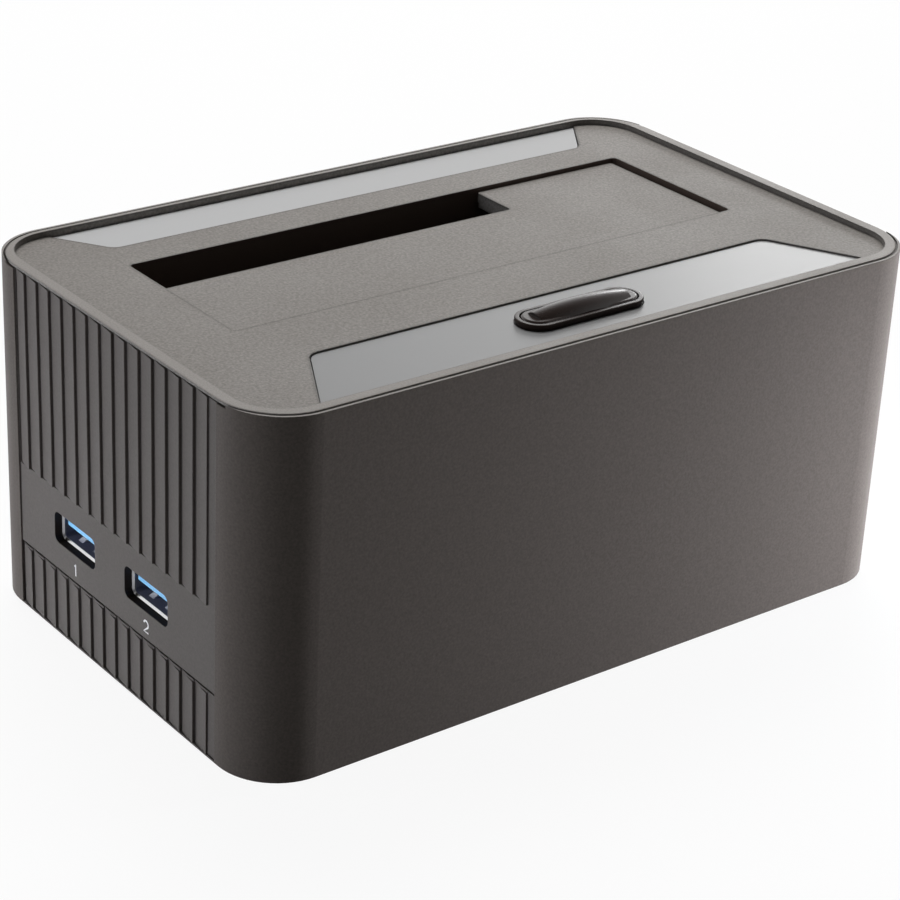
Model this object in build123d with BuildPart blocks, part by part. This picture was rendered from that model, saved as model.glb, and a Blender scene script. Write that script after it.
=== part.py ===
from build123d import *
import os
from math import radians, sin

# Desktop docking station for bare hard drives.
# Frame: millimetres, +Z up, +X to the right along the front face, +Y to the back.
# The origin is the middle of the footprint, on the surface that the rubber feet stand on.

os.makedirs("parts", exist_ok=True)

# Clearances
fit_gap = 0.15
seam_gap = 0.35
bore_gap = 0.05
air_gap = 0.3
overrun = 1.0

# Case
body_height = 62.0
corner_radius = 10.8
wall = 2.2
foot_proud = 1.0

# Drive bay and the room on its four sides, which set the case's length and depth
bay_length = 103.5
bay_depth = 31.4
bay_wall = 1.5
port_recess = 1.55
port_depth = 13.2
port_back_gap = 0.7
tab_size = 8.0
tab_room = 3.15
front_space = 33.2
panel_recess = 1.2
socket_set_back = 0.2
host_depth = 16.0
socket_back_gap = 0.7
left_space = port_recess + port_depth + port_back_gap + bay_wall
right_space = bay_wall + tab_size + tab_room + wall
back_space = bay_wall + socket_back_gap + host_depth + socket_set_back + panel_recess
body_length = left_space + bay_length + right_space
body_depth = front_space + bay_depth + back_space

# Levels and faces that several pieces share
floor_z = foot_proud
top_z = floor_z + body_height
half_length = body_length / 2
half_depth = body_depth / 2
inner_half_length = half_length - wall
inner_half_depth = half_depth - wall
layout_x = (left_space - right_space) / 2

# Base cover
base_thickness = 2.2
base_top = floor_z + base_thickness
skirt_height = 12.0
skirt_top = floor_z + skirt_height - seam_gap

# Side zones with the ribs
zone_inset = 1.1
zone_half = half_depth - corner_radius - zone_inset
zone_recess = 0.3
zone_face = half_length - zone_recess
rib_pitch = 3.9
rib_lead = 3.25
rib_start_y = zone_half - fit_gap
rib_first_y = rib_start_y - rib_lead
rib_count = int((rib_first_y + zone_half) // rib_pitch) + 1
rib_last_y = rib_first_y - (rib_count - 1) * rib_pitch
rib_mid_y = (rib_start_y + rib_last_y) / 2
rib_sunk = 0.2
rib_root = 0.6
rib_top_step = 0.4
upper_rib_rise = 26.7
upper_rib_z = floor_z + upper_rib_rise

# Top cover with its rim
lip_width = 0.5
lip_drop = 0.12
deck_drop = 1.0
deck_z = top_z - deck_drop
deck_thickness = 2.0
deck_under = deck_z - deck_thickness
cover_inset = lip_width + seam_gap
cover_half_length = half_length - cover_inset
cover_half_depth = half_depth - cover_inset
cover_radius = corner_radius - cover_inset
rim_inset_side = 2.3
rim_inset_front = 2.8
rim_inset_back = 1.8
rim_round = 0.2
flange_inset = 0.2
flange_reach = half_length - flange_inset
flange_thickness = 0.45
flange_gap = 0.25
flange_draw = 0.3
flange_half_depth = cover_half_depth - flange_draw
flange_radius = corner_radius - flange_inset
zone_top = top_z - flange_thickness - flange_gap
zone_relief = 0.85
zone_seat_x = cover_half_length - zone_relief

# Drive opening, with the same space on its left and right as the sockets and tabs need
bay_front_y = -half_depth + front_space
bay_back_y = bay_front_y + bay_depth
bay_mid_y = (bay_front_y + bay_back_y) / 2
bay_left_x = layout_x - bay_length / 2
bay_right_x = layout_x + bay_length / 2
opening_round = 0.8
collar_wall = 1.6
collar_depth = 6.0
collar_bottom = deck_under - collar_depth

# Boards
board_thickness = 1.6
board_standoff = 3.0
board_z = base_top + board_standoff
board_top = board_z + board_thickness

# Drive bay
bay_rise = 5.4
bay_floor_z = board_top + bay_rise
bay_floor_thickness = 1.5
bay_under = bay_floor_z - bay_floor_thickness
bay_top = collar_bottom - air_gap

# Dust flap, an L with a notch for the narrow drive
flap_drop = 0.7
flap_thickness = 1.7
flap_z = deck_z - flap_drop
flap_gap_front = 0.3
flap_gap_back = 0.4
flap_gap_left = 0.3
flap_gap_right = 1.1
notch_length = 71.2
notch_depth = 10.0
notch_round = 0.5
knuckle_radius = 1.7
knuckle_end = 8.0
pin_radius = 0.75
hinge_drop = 2.1
hinge_y = bay_front_y + flap_gap_front + knuckle_radius
hinge_z = flap_z - hinge_drop
flap_left_x = bay_left_x + flap_gap_left
flap_right_x = bay_right_x - flap_gap_right
flap_front_y = bay_front_y + flap_gap_front
flap_back_y = bay_back_y - flap_gap_back
notch_right_x = bay_left_x + notch_length
notch_front_y = bay_back_y - notch_depth
spring_pocket_skin = 0.7
rib_width = 1.2
rib_depth = 0.9

# Torsion springs on the flap pin
coil_wire = 0.4
coil_radius = 1.1
coil_pitch = 1.0
coil_turns = 3
coil_long_leg = 6.0
coil_short_leg = 1.4
wire_sides = 6

# Inlays, glued a little below the deck
inlay_thickness = 1.0
inlay_drop = 0.25
inlay_top = deck_z - inlay_drop
pocket_z = inlay_top - inlay_thickness
inlay_gap = 0.25
inlay_round = 2.5
front_inlay_depth = 17.0
front_inlay_inset = 11.45
front_inlay_slant = 9.4
back_inlay_depth = 9.8
back_inlay_inset = 11.25
back_inlay_slant = 6.7
front_inlay_rim_half = half_length - front_inlay_inset
front_inlay_half = front_inlay_rim_half - front_inlay_slant
front_inlay_y = -half_depth + rim_inset_front + front_inlay_depth
back_inlay_rim_half = half_length - back_inlay_inset
back_inlay_half = back_inlay_rim_half - back_inlay_slant
back_inlay_y = half_depth - rim_inset_back - back_inlay_depth

# Eject button
button_offset = 0.45
button_inset = 9.0
button_x = layout_x - button_offset
button_y = -half_depth + rim_inset_front + button_inset
bezel_length = 24.6
bezel_width = 7.4
bezel_height = 1.0
bezel_top = inlay_top + bezel_height
bezel_neck = 0.4
bezel_neck_inset = 0.4
bezel_round = 0.25
cap_length = 22.7
cap_width = 5.4
cap_gap = 0.2
cap_wall = 0.8
cap_proud = 0.15
cap_edge_round = 0.45
cap_top = bezel_top + cap_proud
cap_bar_length = 18.7
cap_bar_end = 0.6
cap_bar_rise = 1.35
cap_bar_core = 1.9
cap_skirt = 1.0
spigot_wall = 0.7
well_wall = 1.2
well_depth = 2.8
well_floor_z = deck_under - well_depth
well_floor = 1.2
sleeve_radius = 4.0
sleeve_wall = 1.2
sleeve_length = 13.0
sleeve_bottom = well_floor_z - well_floor - sleeve_length
plunger_radius = 2.0
plunger_flange_radius = 3.6
plunger_flange = 1.4
plunger_chamfer = 0.25
retainer_thickness = 1.2
button_spring_wire = 0.5
button_spring_radius = 2.95
button_spring_turns = 5

# Drive connector
sata_inset_x = 29.2
sata_inset_y = 5.1
sata_x = bay_left_x + sata_inset_x
sata_y = bay_back_y - sata_inset_y
sata_length = 42.0
sata_width = 5.6
sata_above_floor = 6.6
sata_slot_width = 1.5
sata_slot_depth = 5.4
sata_power_length = 20.4
sata_data_length = 10.4
sata_slot_spread = 2.4
sata_key = 1.3
sata_horn = 3.2
sata_horn_height = 2.6
sata_chamfer = 0.25
sata_gap = 0.3
blade_width = 0.7
blade_pitch = 1.27
blade_thickness = 0.25
power_blades = 15
data_blades = 7

# Eject lever, from under the button to just before the drive connector
lever_pivot_inset = 5.6
lever_pivot_rise = 2.0
lever_pivot_y = bay_front_y - lever_pivot_inset
lever_pivot_z = bay_floor_z + lever_pivot_rise
lever_slot_bridge = 2.7
lever_slot_gap = 0.6
slot_back_y = sata_y - sata_width / 2 - sata_gap - lever_slot_bridge
slot_front_y = bay_front_y - bay_wall
lever_width = 7.0
lever_hub_radius = 3.2
lever_pad_radius = 1.5
lever_rear_drop = 3.8
lever_pin_radius = 1.0
lever_slot_top = lever_pivot_z + lever_hub_radius + lever_slot_gap
ear_thickness = 2.0
ear_gap = 0.3
ear_radius = 3.6

# Screws and posts
post_radius = 4.4
post_offset = 3.2
post_x = half_length - corner_radius + post_offset
post_y = half_depth - corner_radius + post_offset
screw_radius = 1.3
screw_head_radius = 2.6
screw_head_height = 1.5
case_screw_length = 11.0
cover_pin_radius = 1.45
cover_pin_length = 6.0
tab_inset = 3.7
tab_front_y = bay_front_y + tab_inset
tab_back_y = bay_back_y - tab_inset
board_boss_radius = 3.0
board_screw_depth = 3.2
board_screw_head = 1.8
board_screw_chamfer = 0.4

# Feet
foot_radius = 5.0
foot_sink = 1.0
foot_inset_x = 21.65
foot_inset_y = 13.1
foot_x = half_length - foot_inset_x
foot_y = half_depth - foot_inset_y
foot_chamfer = 0.4

# Side ports
port_rise = 19.7
port_offset = 5.425
port_mid_y = bay_mid_y - port_offset
port_pitch = 22.25
port_ys = (port_mid_y + port_pitch / 2, port_mid_y - port_pitch / 2)
port_z = floor_z + port_rise
port_length = 12.7
port_height = 5.3
port_shell_wall = 0.4
port_mouth_chamfer = 0.32
port_cut_gap = 0.15
port_cut_round = 1.2
port_shell_round = port_cut_round - port_cut_gap
port_inner_length = port_length - 2 * port_shell_wall
port_inner_height = port_height - 2 * port_shell_wall
port_inner_round = port_shell_round - port_shell_wall
port_bottom_z = port_z - port_height / 2
port_front_x = -half_length + port_recess
port_back_x = port_front_x + port_depth
latch_width = 1.35
latch_length = 1.6
latch_rise = 0.75
latch_set_back = 1.4
latch_offset = 0.45
latch_spread = 4.7
tongue_thickness = 0.85
tongue_width = 11.0
tongue_set_back = 0.7
tongue_gap = 1.45
tongue_z = port_z + port_inner_height / 2 - tongue_gap - tongue_thickness / 2
core_length = 3.6
contact_thickness = 0.15
contact_width = 1.0
contact_pitch = 2.4
contact_length = 6.0
contact_count = 4

# Rear panel
panel_offset = 5.0
panel_width = 78.0
panel_height = 17.0
panel_rise = 5.0
panel_left_x = panel_offset - panel_width / 2
panel_right_x = panel_offset + panel_width / 2
panel_mid_z = floor_z + panel_rise + panel_height / 2
panel_pad = 1.5
panel_pad_margin = 2.5
panel_face_y = half_depth - panel_recess
panel_inner_y = inner_half_depth - panel_pad
socket_face_y = panel_face_y - socket_set_back

# Power input
jack_inset = 10.0
jack_x = panel_right_x - jack_inset
jack_width = 9.0
jack_height = 11.0
jack_depth = 13.5
jack_bore_radius = 3.1
jack_bore_depth = 9.5
jack_pin_radius = 1.0
jack_pin_set_back = 1.0
jack_pin_chamfer = 0.35

# Power switch
switch_inset = 18.0
switch_x = panel_left_x + switch_inset
switch_z = panel_mid_z
switch_width = 14.0
switch_height = 9.5
switch_depth = 11.0
switch_flange = 1.2
switch_flange_thickness = 1.0
rocker_radius = 5.2
rocker_width = 6.2
rocker_face_angle = 12.0
rocker_pivot_depth = 3.4
rocker_pin_radius = 0.9
rocker_pin_length = 0.8
rocker_gap = 0.3
rocker_tilt = 9.0

# Host port, midway between the power input and the switch
host_x = (jack_x + switch_x) / 2
host_width = 12.2
host_height = 10.6
host_step_height = 3.4
host_step_width = 8.4
host_chamfer = 1.6
host_wall = 0.35
host_core_length = 5.0
host_tongue_width = 5.6
host_tongue_height = 3.0
host_tongue_length = 9.0
host_tongue_rise = 3.4

# Outlines of the boards
board_side_gap = 1.45
board_post_gap = 0.7
board_back_gap = 1.0
board_half_length = inner_half_length - board_side_gap
board_front_y = -(post_y - post_radius - board_post_gap)
board_notch_y = post_y - post_radius - board_post_gap
board_notch_x = post_x - post_radius - board_post_gap
board_back_y = panel_inner_y - board_back_gap
side_board_thickness = 1.2
side_board_gap = 0.8
side_board_margin = 0.55
side_board_overhang = 2.55
side_board_z = port_bottom_z - side_board_thickness
side_board_right_x = bay_left_x - bay_wall - side_board_gap
side_board_left_x = -(inner_half_length - side_board_margin)
side_board_back_y = port_ys[0] + port_length / 2 + side_board_overhang
side_board_front_y = port_ys[1] - port_length / 2 - side_board_overhang
side_board_mid_y = (side_board_front_y + side_board_back_y) / 2
link_length = 20.0
link_width = 2.4
link_inset = 3.45
link_x = -(inner_half_length - link_inset)
shelf_width = 3.8
shelf_inset = 10.4
shelf_back_y = bay_back_y - shelf_inset

# Parts on the main board, in the strip before the drive bay
strip_mid_y = (board_front_y + bay_front_y - bay_wall) / 2
chip_height = 1.2
chip_chamfer = 0.3
chip_sizes = (12.0, 8.0, 9.0)
chip_place_shares = (-0.5, -0.16, 0.47)
can_radius = 3.15
can_height = 6.4
can_chamfer = 0.4
can_inset_x = 10.0
can_inset_y = 5.4
can_pitch = 8.0
can_right_x = board_half_length - can_inset_x
can_low_y = board_front_y + can_inset_y
can_places = (
    (can_right_x - can_pitch, can_low_y),
    (can_right_x, can_low_y),
    (can_right_x, can_low_y + can_pitch),
)
coil_block_size = 6.0
coil_block_height = 3.0
coil_block_round = 1.0
coil_left_inset_x = 16.0
coil_left_inset_y = 9.4
coil_right_inset_x = 20.0
coil_right_inset_y = 19.4
coil_block_places = (
    (board_half_length - coil_right_inset_x, board_front_y + coil_right_inset_y),
    (-board_half_length + coil_left_inset_x, board_front_y + coil_left_inset_y),
)


def rib_outline(side):
    """Corner points of one side's rib strip seen from above: a saw with its steps facing the front."""
    root = side * (zone_face - rib_root)
    sunk = side * (zone_face - rib_sunk)
    proud = side * half_length
    points = [(root, rib_start_y), (sunk, rib_start_y)]
    for index in range(rib_count):
        edge_y = rib_first_y - index * rib_pitch
        points += [(proud, edge_y), (sunk, edge_y)]
    points.append((root, rib_last_y))
    return points


def zone_block(bottom, height, inward, outward):
    """Two boxes over the side zones, from one distance to another from the middle, inside a part."""
    with BuildSketch(Plane.XY.offset(bottom), mode=Mode.PRIVATE) as zone:
        with Locations((-(inward + outward) / 2, 0), ((inward + outward) / 2, 0)):
            Rectangle(outward - inward, 2 * zone_half)
    return extrude(zone.sketch, amount=height, mode=Mode.PRIVATE)


def rib_bed(bottom, top):
    """The shallow beds that the ribs of both sides stand in, between two levels."""
    with BuildSketch(Plane.XY.offset(bottom), mode=Mode.PRIVATE) as bed:
        with Locations((-zone_face, rib_mid_y), (zone_face, rib_mid_y)):
            Rectangle(2 * rib_sunk, rib_start_y - rib_last_y)
    return extrude(bed.sketch, amount=top - bottom, mode=Mode.PRIVATE)


def rib_rows(bottom, top):
    """The ribs of both sides, between two levels."""
    with BuildSketch(Plane.XY.offset(bottom), mode=Mode.PRIVATE) as rows:
        for side in (-1, 1):
            with BuildLine():
                Polyline(*rib_outline(side), close=True)
            make_face()
    return extrude(rows.sketch, amount=top - bottom, mode=Mode.PRIVATE)


def flange_plan(level, grow):
    """The outline of the cover's flange, which draws back into the cover round the corners."""
    with BuildSketch(Plane.XY.offset(level), mode=Mode.PRIVATE) as plan:
        RectangleRounded(
            2 * (flange_reach + grow), 2 * (flange_half_depth + grow), flange_radius + grow
        )
    return plan.sketch


def inlay_sketch(level, edge_y, rim_y, half, rim_half, grow):
    """A long panel with slanted ends, wide at the rim and rounded at its inner corners."""
    with BuildSketch(Plane.XY.offset(level), mode=Mode.PRIVATE) as panel:
        with BuildLine():
            Polyline(
                (layout_x - half, edge_y),
                (layout_x + half, edge_y),
                (layout_x + rim_half, rim_y),
                (layout_x - rim_half, rim_y),
                close=True,
            )
        make_face()
        inner = panel.vertices().group_by(Axis.Y)[-1 if edge_y > rim_y else 0]
        fillet(inner, inlay_round)
        if grow > 0:
            offset(amount=grow, kind=Kind.INTERSECTION)
    return panel.sketch


# Outer frame of the rim's inside, where the deck lies
deck_front_y = -half_depth + rim_inset_front
deck_back_y = half_depth - rim_inset_back
deck_half = half_length - rim_inset_side
deck_radius = corner_radius - rim_inset_side
post_places = [(x, y) for x in (-post_x, post_x) for y in (-post_y, post_y)]
foot_places = {
    "foot_front_left": (-foot_x, -foot_y),
    "foot_front_right": (foot_x, -foot_y),
    "foot_back_left": (-foot_x, foot_y),
    "foot_back_right": (foot_x, foot_y),
}
tab_left_x = bay_left_x - bay_wall - tab_size / 2
tab_right_x = bay_right_x + bay_wall + tab_size / 2
tab_places = [(x, y) for x in (tab_left_x, tab_right_x) for y in (tab_front_y, tab_back_y)]


# Base cover: a plate inside the housing walls, with a ribbed skirt at each end
with BuildPart() as base_cover:
    with BuildSketch(Plane.XY.offset(floor_z)):
        RectangleRounded(
            2 * (inner_half_length - fit_gap),
            2 * (inner_half_depth - fit_gap),
            corner_radius - wall - fit_gap,
        )
        Rectangle(2 * zone_face, 2 * (zone_half - fit_gap))
    extrude(amount=base_thickness)
    with BuildSketch(Plane.XY.offset(floor_z)):
        skirt_x = zone_face - (wall - zone_recess) / 2
        with Locations((-skirt_x, 0), (skirt_x, 0)):
            Rectangle(wall - zone_recess, 2 * (zone_half - fit_gap))
    extrude(amount=skirt_top - floor_z)
    add(rib_bed(floor_z, skirt_top + overrun), mode=Mode.SUBTRACT)
    add(rib_rows(floor_z, skirt_top))
    # the proud half of each rib stops short of the seam
    add(zone_block(skirt_top - rib_top_step, rib_top_step + overrun, zone_face, half_length + overrun),
        mode=Mode.SUBTRACT)
    with BuildSketch(Plane.XY.offset(base_top)):
        with Locations(*tab_places):
            Circle(board_boss_radius)
    extrude(amount=board_standoff)
    with Locations(*[(x, y, board_z) for x, y in tab_places]):
        Hole(screw_radius + bore_gap, depth=board_screw_depth + bore_gap)
    with BuildSketch(Plane.XY.offset(floor_z)):
        with Locations(*foot_places.values()):
            Circle(foot_radius + fit_gap)
    extrude(amount=foot_sink, mode=Mode.SUBTRACT)
    with BuildSketch(Plane.XY.offset(floor_z)):
        with Locations(*post_places):
            Circle(screw_radius + fit_gap)
    extrude(amount=base_thickness, mode=Mode.SUBTRACT)
    with BuildSketch(Plane.XY.offset(floor_z)):
        with Locations(*post_places):
            Circle(screw_head_radius + fit_gap)
    extrude(amount=screw_head_height, mode=Mode.SUBTRACT)
base_cover.part.label = "base_cover"
export_step(base_cover.part, "parts/base_cover.step")


# Housing shell: the four walls in one moulding, with ribbed zones, ports and screw posts
with BuildPart() as housing_shell:
    with BuildSketch(Plane.XY.offset(floor_z)):
        RectangleRounded(body_length, body_depth, corner_radius)
    extrude(amount=top_z - lip_drop - floor_z)
    with BuildSketch(Plane.XY.offset(floor_z)):
        RectangleRounded(2 * inner_half_length, 2 * inner_half_depth, corner_radius - wall)
    extrude(amount=body_height, mode=Mode.SUBTRACT)
    # posts in the corners, merged with the walls
    with BuildSketch(Plane.XY.offset(base_top + fit_gap)):
        with Locations(*post_places):
            Circle(post_radius)
    extrude(amount=deck_under - base_top - fit_gap)
    # seat of the top cover inside the lip
    with BuildSketch(Plane.XY.offset(deck_under)):
        RectangleRounded(
            body_length - 2 * lip_width, body_depth - 2 * lip_width, corner_radius - lip_width
        )
    extrude(amount=body_height, mode=Mode.SUBTRACT)
    # side zones, a little below the body's face and cut down under the cover's flange
    add(zone_block(deck_under, zone_top - deck_under, zone_seat_x + fit_gap, half_length))
    add(zone_block(floor_z, body_height, zone_face, half_length + overrun), mode=Mode.SUBTRACT)
    add(zone_block(zone_top, body_height, inner_half_length - post_radius, half_length + overrun),
        mode=Mode.SUBTRACT)
    extrude(flange_plan(zone_top, seam_gap), amount=body_height, mode=Mode.SUBTRACT)
    add(zone_block(floor_z - overrun, skirt_height + overrun, inner_half_length - overrun,
                   half_length + overrun), mode=Mode.SUBTRACT)
    add(rib_bed(upper_rib_z, top_z), mode=Mode.SUBTRACT)
    add(rib_rows(upper_rib_z, zone_top))
    # the side ports' cut-outs, with rounded corners
    cut_length = port_length + 2 * port_cut_gap
    cut_height = port_height + 2 * port_cut_gap
    for port_y in port_ys:
        with BuildSketch(Plane.YZ.offset(-half_length - overrun)) as port_cut:
            with Locations((port_y, port_z)):
                Rectangle(cut_length, cut_height)
            fillet(port_cut.vertices().group_by(Axis.Z)[0], port_cut_round)
        extrude(amount=wall + 2 * overrun, mode=Mode.SUBTRACT)
    # thicker pad behind the rear panel
    with BuildSketch(Plane.XZ.offset(-panel_inner_y)):
        with Locations((panel_offset, panel_mid_z)):
            Rectangle(panel_width + 2 * panel_pad_margin, panel_height + 2 * panel_pad_margin)
    extrude(amount=-(panel_pad + wall / 2))
    with BuildSketch(Plane.XZ.offset(-panel_face_y)):
        with Locations((panel_offset, panel_mid_z)):
            RectangleRounded(panel_width, panel_height, inlay_round)
    extrude(amount=-(panel_recess + overrun), mode=Mode.SUBTRACT)
    with BuildSketch(Plane.XZ.offset(-panel_face_y)):
        with Locations((jack_x, board_top + jack_height / 2)):
            Rectangle(jack_width + 2 * fit_gap, jack_height + 2 * fit_gap)
        with Locations((host_x, board_top + host_height / 2)):
            Rectangle(host_width + 2 * fit_gap, host_height + 2 * fit_gap)
        with Locations((switch_x, switch_z)):
            Rectangle(switch_width + 2 * fit_gap, switch_height + 2 * fit_gap)
    extrude(amount=panel_face_y - panel_inner_y + overrun, mode=Mode.SUBTRACT)
    # screw holes from below and pin holes from above
    with BuildSketch(Plane.XY.offset(base_top)):
        with Locations(*post_places):
            Circle(screw_radius + bore_gap)
    extrude(amount=case_screw_length, mode=Mode.SUBTRACT)
    with BuildSketch(Plane.XY.offset(deck_under - cover_pin_length - air_gap)):
        with Locations(*post_places):
            Circle(cover_pin_radius + bore_gap)
    extrude(amount=cover_pin_length + air_gap, mode=Mode.SUBTRACT)
housing_shell.part.label = "housing_shell"
export_step(housing_shell.part, "parts/housing_shell.step")


# Top cover: the deck with its rim, the collar round the drive opening and the button's guides
with BuildPart() as top_cover:
    with BuildSketch(Plane.XY.offset(deck_under)):
        RectangleRounded(2 * cover_half_length, 2 * cover_half_depth, cover_radius)
    extrude(amount=top_z - deck_under)
    add(zone_block(deck_under, top_z - deck_under, zone_seat_x, half_length), mode=Mode.SUBTRACT)
    # flange over the side walls
    extrude(flange_plan(top_z - flange_thickness, 0), amount=flange_thickness)
    rim_edges = top_cover.faces().sort_by(Axis.Z)[-1].edges()
    fillet(rim_edges, rim_round)
    with BuildSketch(Plane.XY.offset(deck_z)):
        with Locations((0, (deck_front_y + deck_back_y) / 2)):
            RectangleRounded(2 * deck_half, deck_back_y - deck_front_y, deck_radius)
    extrude(amount=deck_drop + overrun, mode=Mode.SUBTRACT)
    # collar under the drive opening
    with BuildSketch(Plane.XY.offset(collar_bottom)):
        with Locations((layout_x, bay_mid_y)):
            RectangleRounded(
                bay_length + 2 * collar_wall, bay_depth + 2 * collar_wall, opening_round + collar_wall
            )
    extrude(amount=collar_depth)
    with BuildSketch(Plane.XY.offset(collar_bottom)):
        with Locations((layout_x, bay_mid_y)):
            RectangleRounded(bay_length, bay_depth, opening_round)
    extrude(amount=top_z - collar_bottom, mode=Mode.SUBTRACT)
    with BuildSketch(Plane.YZ.offset(bay_left_x - collar_wall - overrun)):
        with Locations((hinge_y, hinge_z)):
            Circle(pin_radius + bore_gap)
    extrude(amount=bay_length + 2 * (collar_wall + overrun), mode=Mode.SUBTRACT)
    # button well and sleeve
    with BuildSketch(Plane.XY.offset(well_floor_z - well_floor)):
        with Locations((button_x, button_y)):
            SlotOverall(cap_length + 2 * (cap_gap + well_wall), cap_width + 2 * (cap_gap + well_wall))
    extrude(amount=deck_under - well_floor_z + well_floor)
    with BuildSketch(Plane.XY.offset(sleeve_bottom)):
        with Locations((button_x, button_y)):
            Circle(sleeve_radius + sleeve_wall)
    extrude(amount=sleeve_length)
    with BuildSketch(Plane.XY.offset(sleeve_bottom)):
        with Locations((button_x, button_y)):
            Circle(sleeve_radius)
    extrude(amount=sleeve_length, mode=Mode.SUBTRACT)
    with BuildSketch(Plane.XY.offset(well_floor_z - well_floor)):
        with Locations((button_x, button_y)):
            Circle(plunger_radius + air_gap)
    extrude(amount=well_floor, mode=Mode.SUBTRACT)
    with BuildSketch(Plane.XY.offset(well_floor_z)):
        with Locations((button_x, button_y)):
            SlotOverall(cap_length + 2 * cap_gap, cap_width + 2 * cap_gap)
    extrude(amount=body_height, mode=Mode.SUBTRACT)
    spigot_length = cap_length + 2 * (cap_gap + spigot_wall)
    spigot_width = cap_width + 2 * (cap_gap + spigot_wall)
    with BuildSketch(Plane.XY.offset(deck_under)):
        with Locations((button_x, button_y)):
            SlotOverall(spigot_length + 2 * fit_gap, spigot_width + 2 * fit_gap)
    extrude(amount=body_height, mode=Mode.SUBTRACT)
    # pockets of the two inlays
    front_pocket = inlay_sketch(pocket_z, front_inlay_y, deck_front_y, front_inlay_half,
                                front_inlay_rim_half, inlay_gap)
    back_pocket = inlay_sketch(pocket_z, back_inlay_y, deck_back_y, back_inlay_half,
                               back_inlay_rim_half, inlay_gap)
    with BuildSketch(Plane.XY.offset(pocket_z), mode=Mode.PRIVATE) as deck_field:
        with Locations((0, (deck_front_y + deck_back_y) / 2)):
            RectangleRounded(2 * deck_half, deck_back_y - deck_front_y, deck_radius)
    extrude(front_pocket & deck_field.sketch, amount=deck_z - pocket_z, mode=Mode.SUBTRACT)
    extrude(back_pocket & deck_field.sketch, amount=deck_z - pocket_z, mode=Mode.SUBTRACT)
    # pins that seat in the housing's posts
    with BuildSketch(Plane.XY.offset(deck_under - cover_pin_length)):
        with Locations(*post_places):
            Circle(cover_pin_radius)
    extrude(amount=cover_pin_length)
top_cover.part.label = "top_cover"
export_step(top_cover.part, "parts/top_cover.step")


# Inlays, glued in their pockets
with BuildPart() as front_inlay:
    front_panel = inlay_sketch(pocket_z, front_inlay_y, deck_front_y + inlay_gap, front_inlay_half,
                               front_inlay_rim_half, 0)
    extrude(front_panel, amount=inlay_thickness)
    with BuildSketch(Plane.XY.offset(pocket_z)):
        with Locations((button_x, button_y)):
            SlotOverall(spigot_length + 2 * fit_gap, spigot_width + 2 * fit_gap)
    extrude(amount=inlay_thickness, mode=Mode.SUBTRACT)
front_inlay.part.label = "front_inlay"
export_step(front_inlay.part, "parts/front_inlay.step")

with BuildPart() as back_inlay:
    back_panel = inlay_sketch(pocket_z, back_inlay_y, deck_back_y - inlay_gap, back_inlay_half,
                              back_inlay_rim_half, 0)
    extrude(back_panel, amount=inlay_thickness)
back_inlay.part.label = "back_inlay"
export_step(back_inlay.part, "parts/back_inlay.step")


# Drive bay: the well that guides a drive down to the connector
with BuildPart() as drive_bay:
    with BuildSketch(Plane.XY.offset(bay_under)):
        with Locations((layout_x, bay_mid_y)):
            RectangleRounded(
                bay_length + 2 * bay_wall, bay_depth + 2 * bay_wall, opening_round + bay_wall
            )
    extrude(amount=bay_top - bay_under)
    with BuildSketch(Plane.XY.offset(bay_floor_z)):
        with Locations((layout_x, bay_mid_y)):
            RectangleRounded(bay_length, bay_depth, opening_round)
    extrude(amount=bay_top - bay_floor_z, mode=Mode.SUBTRACT)
    # tabs with legs that stand on the main board
    with BuildSketch(Plane.XY.offset(board_top)):
        with Locations(*tab_places):
            Rectangle(tab_size, tab_size)
    extrude(amount=bay_floor_z - board_top)
    with BuildSketch(Plane.XY.offset(board_top)):
        with Locations(*tab_places):
            Circle(screw_radius + fit_gap)
    extrude(amount=bay_floor_z - board_top, mode=Mode.SUBTRACT)
    # window for the drive connector
    with BuildSketch(Plane.XY.offset(bay_under)):
        with Locations((sata_x, sata_y)):
            Rectangle(sata_length + 2 * (sata_horn + sata_gap), sata_width + 2 * sata_gap)
    extrude(amount=bay_floor_thickness, mode=Mode.SUBTRACT)
    # slot for the eject lever through the front wall and the floor
    with BuildSketch(Plane.XY.offset(bay_under)):
        with Locations((button_x, (slot_front_y + slot_back_y) / 2)):
            Rectangle(lever_width + 2 * lever_slot_gap, slot_back_y - slot_front_y)
    extrude(amount=bay_floor_thickness, mode=Mode.SUBTRACT)
    with BuildSketch(Plane.XY.offset(bay_under)):
        with Locations((button_x, bay_front_y - bay_wall / 2)):
            Rectangle(lever_width + 2 * lever_slot_gap, bay_wall)
    extrude(amount=lever_slot_top - bay_under, mode=Mode.SUBTRACT)
    # ears for the lever's pin
    ear_x = lever_width / 2 + ear_gap + ear_thickness / 2
    for side in (-1, 1):
        with BuildSketch(Plane.YZ.offset(button_x + side * ear_x - ear_thickness / 2)):
            with Locations((lever_pivot_y, lever_pivot_z)):
                Circle(ear_radius)
            with BuildLine():
                Polyline(
                    (lever_pivot_y, lever_pivot_z + ear_radius),
                    (slot_front_y + bay_wall / 2, lever_slot_top + ear_radius),
                    (slot_front_y + bay_wall / 2, lever_pivot_z - ear_radius),
                    (lever_pivot_y, lever_pivot_z - ear_radius),
                    close=True,
                )
            make_face()
            with Locations((lever_pivot_y, lever_pivot_z)):
                Circle(lever_pin_radius + bore_gap, mode=Mode.SUBTRACT)
        extrude(amount=ear_thickness)
    # shelf under the side board
    with BuildSketch(Plane.XY.offset(side_board_z - bay_wall)):
        with Locations((bay_left_x - bay_wall - shelf_width / 2, (bay_front_y + shelf_back_y) / 2)):
            Rectangle(shelf_width, shelf_back_y - bay_front_y)
    extrude(amount=bay_wall)
drive_bay.part.label = "drive_bay"
export_step(drive_bay.part, "parts/drive_bay.step")


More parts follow.
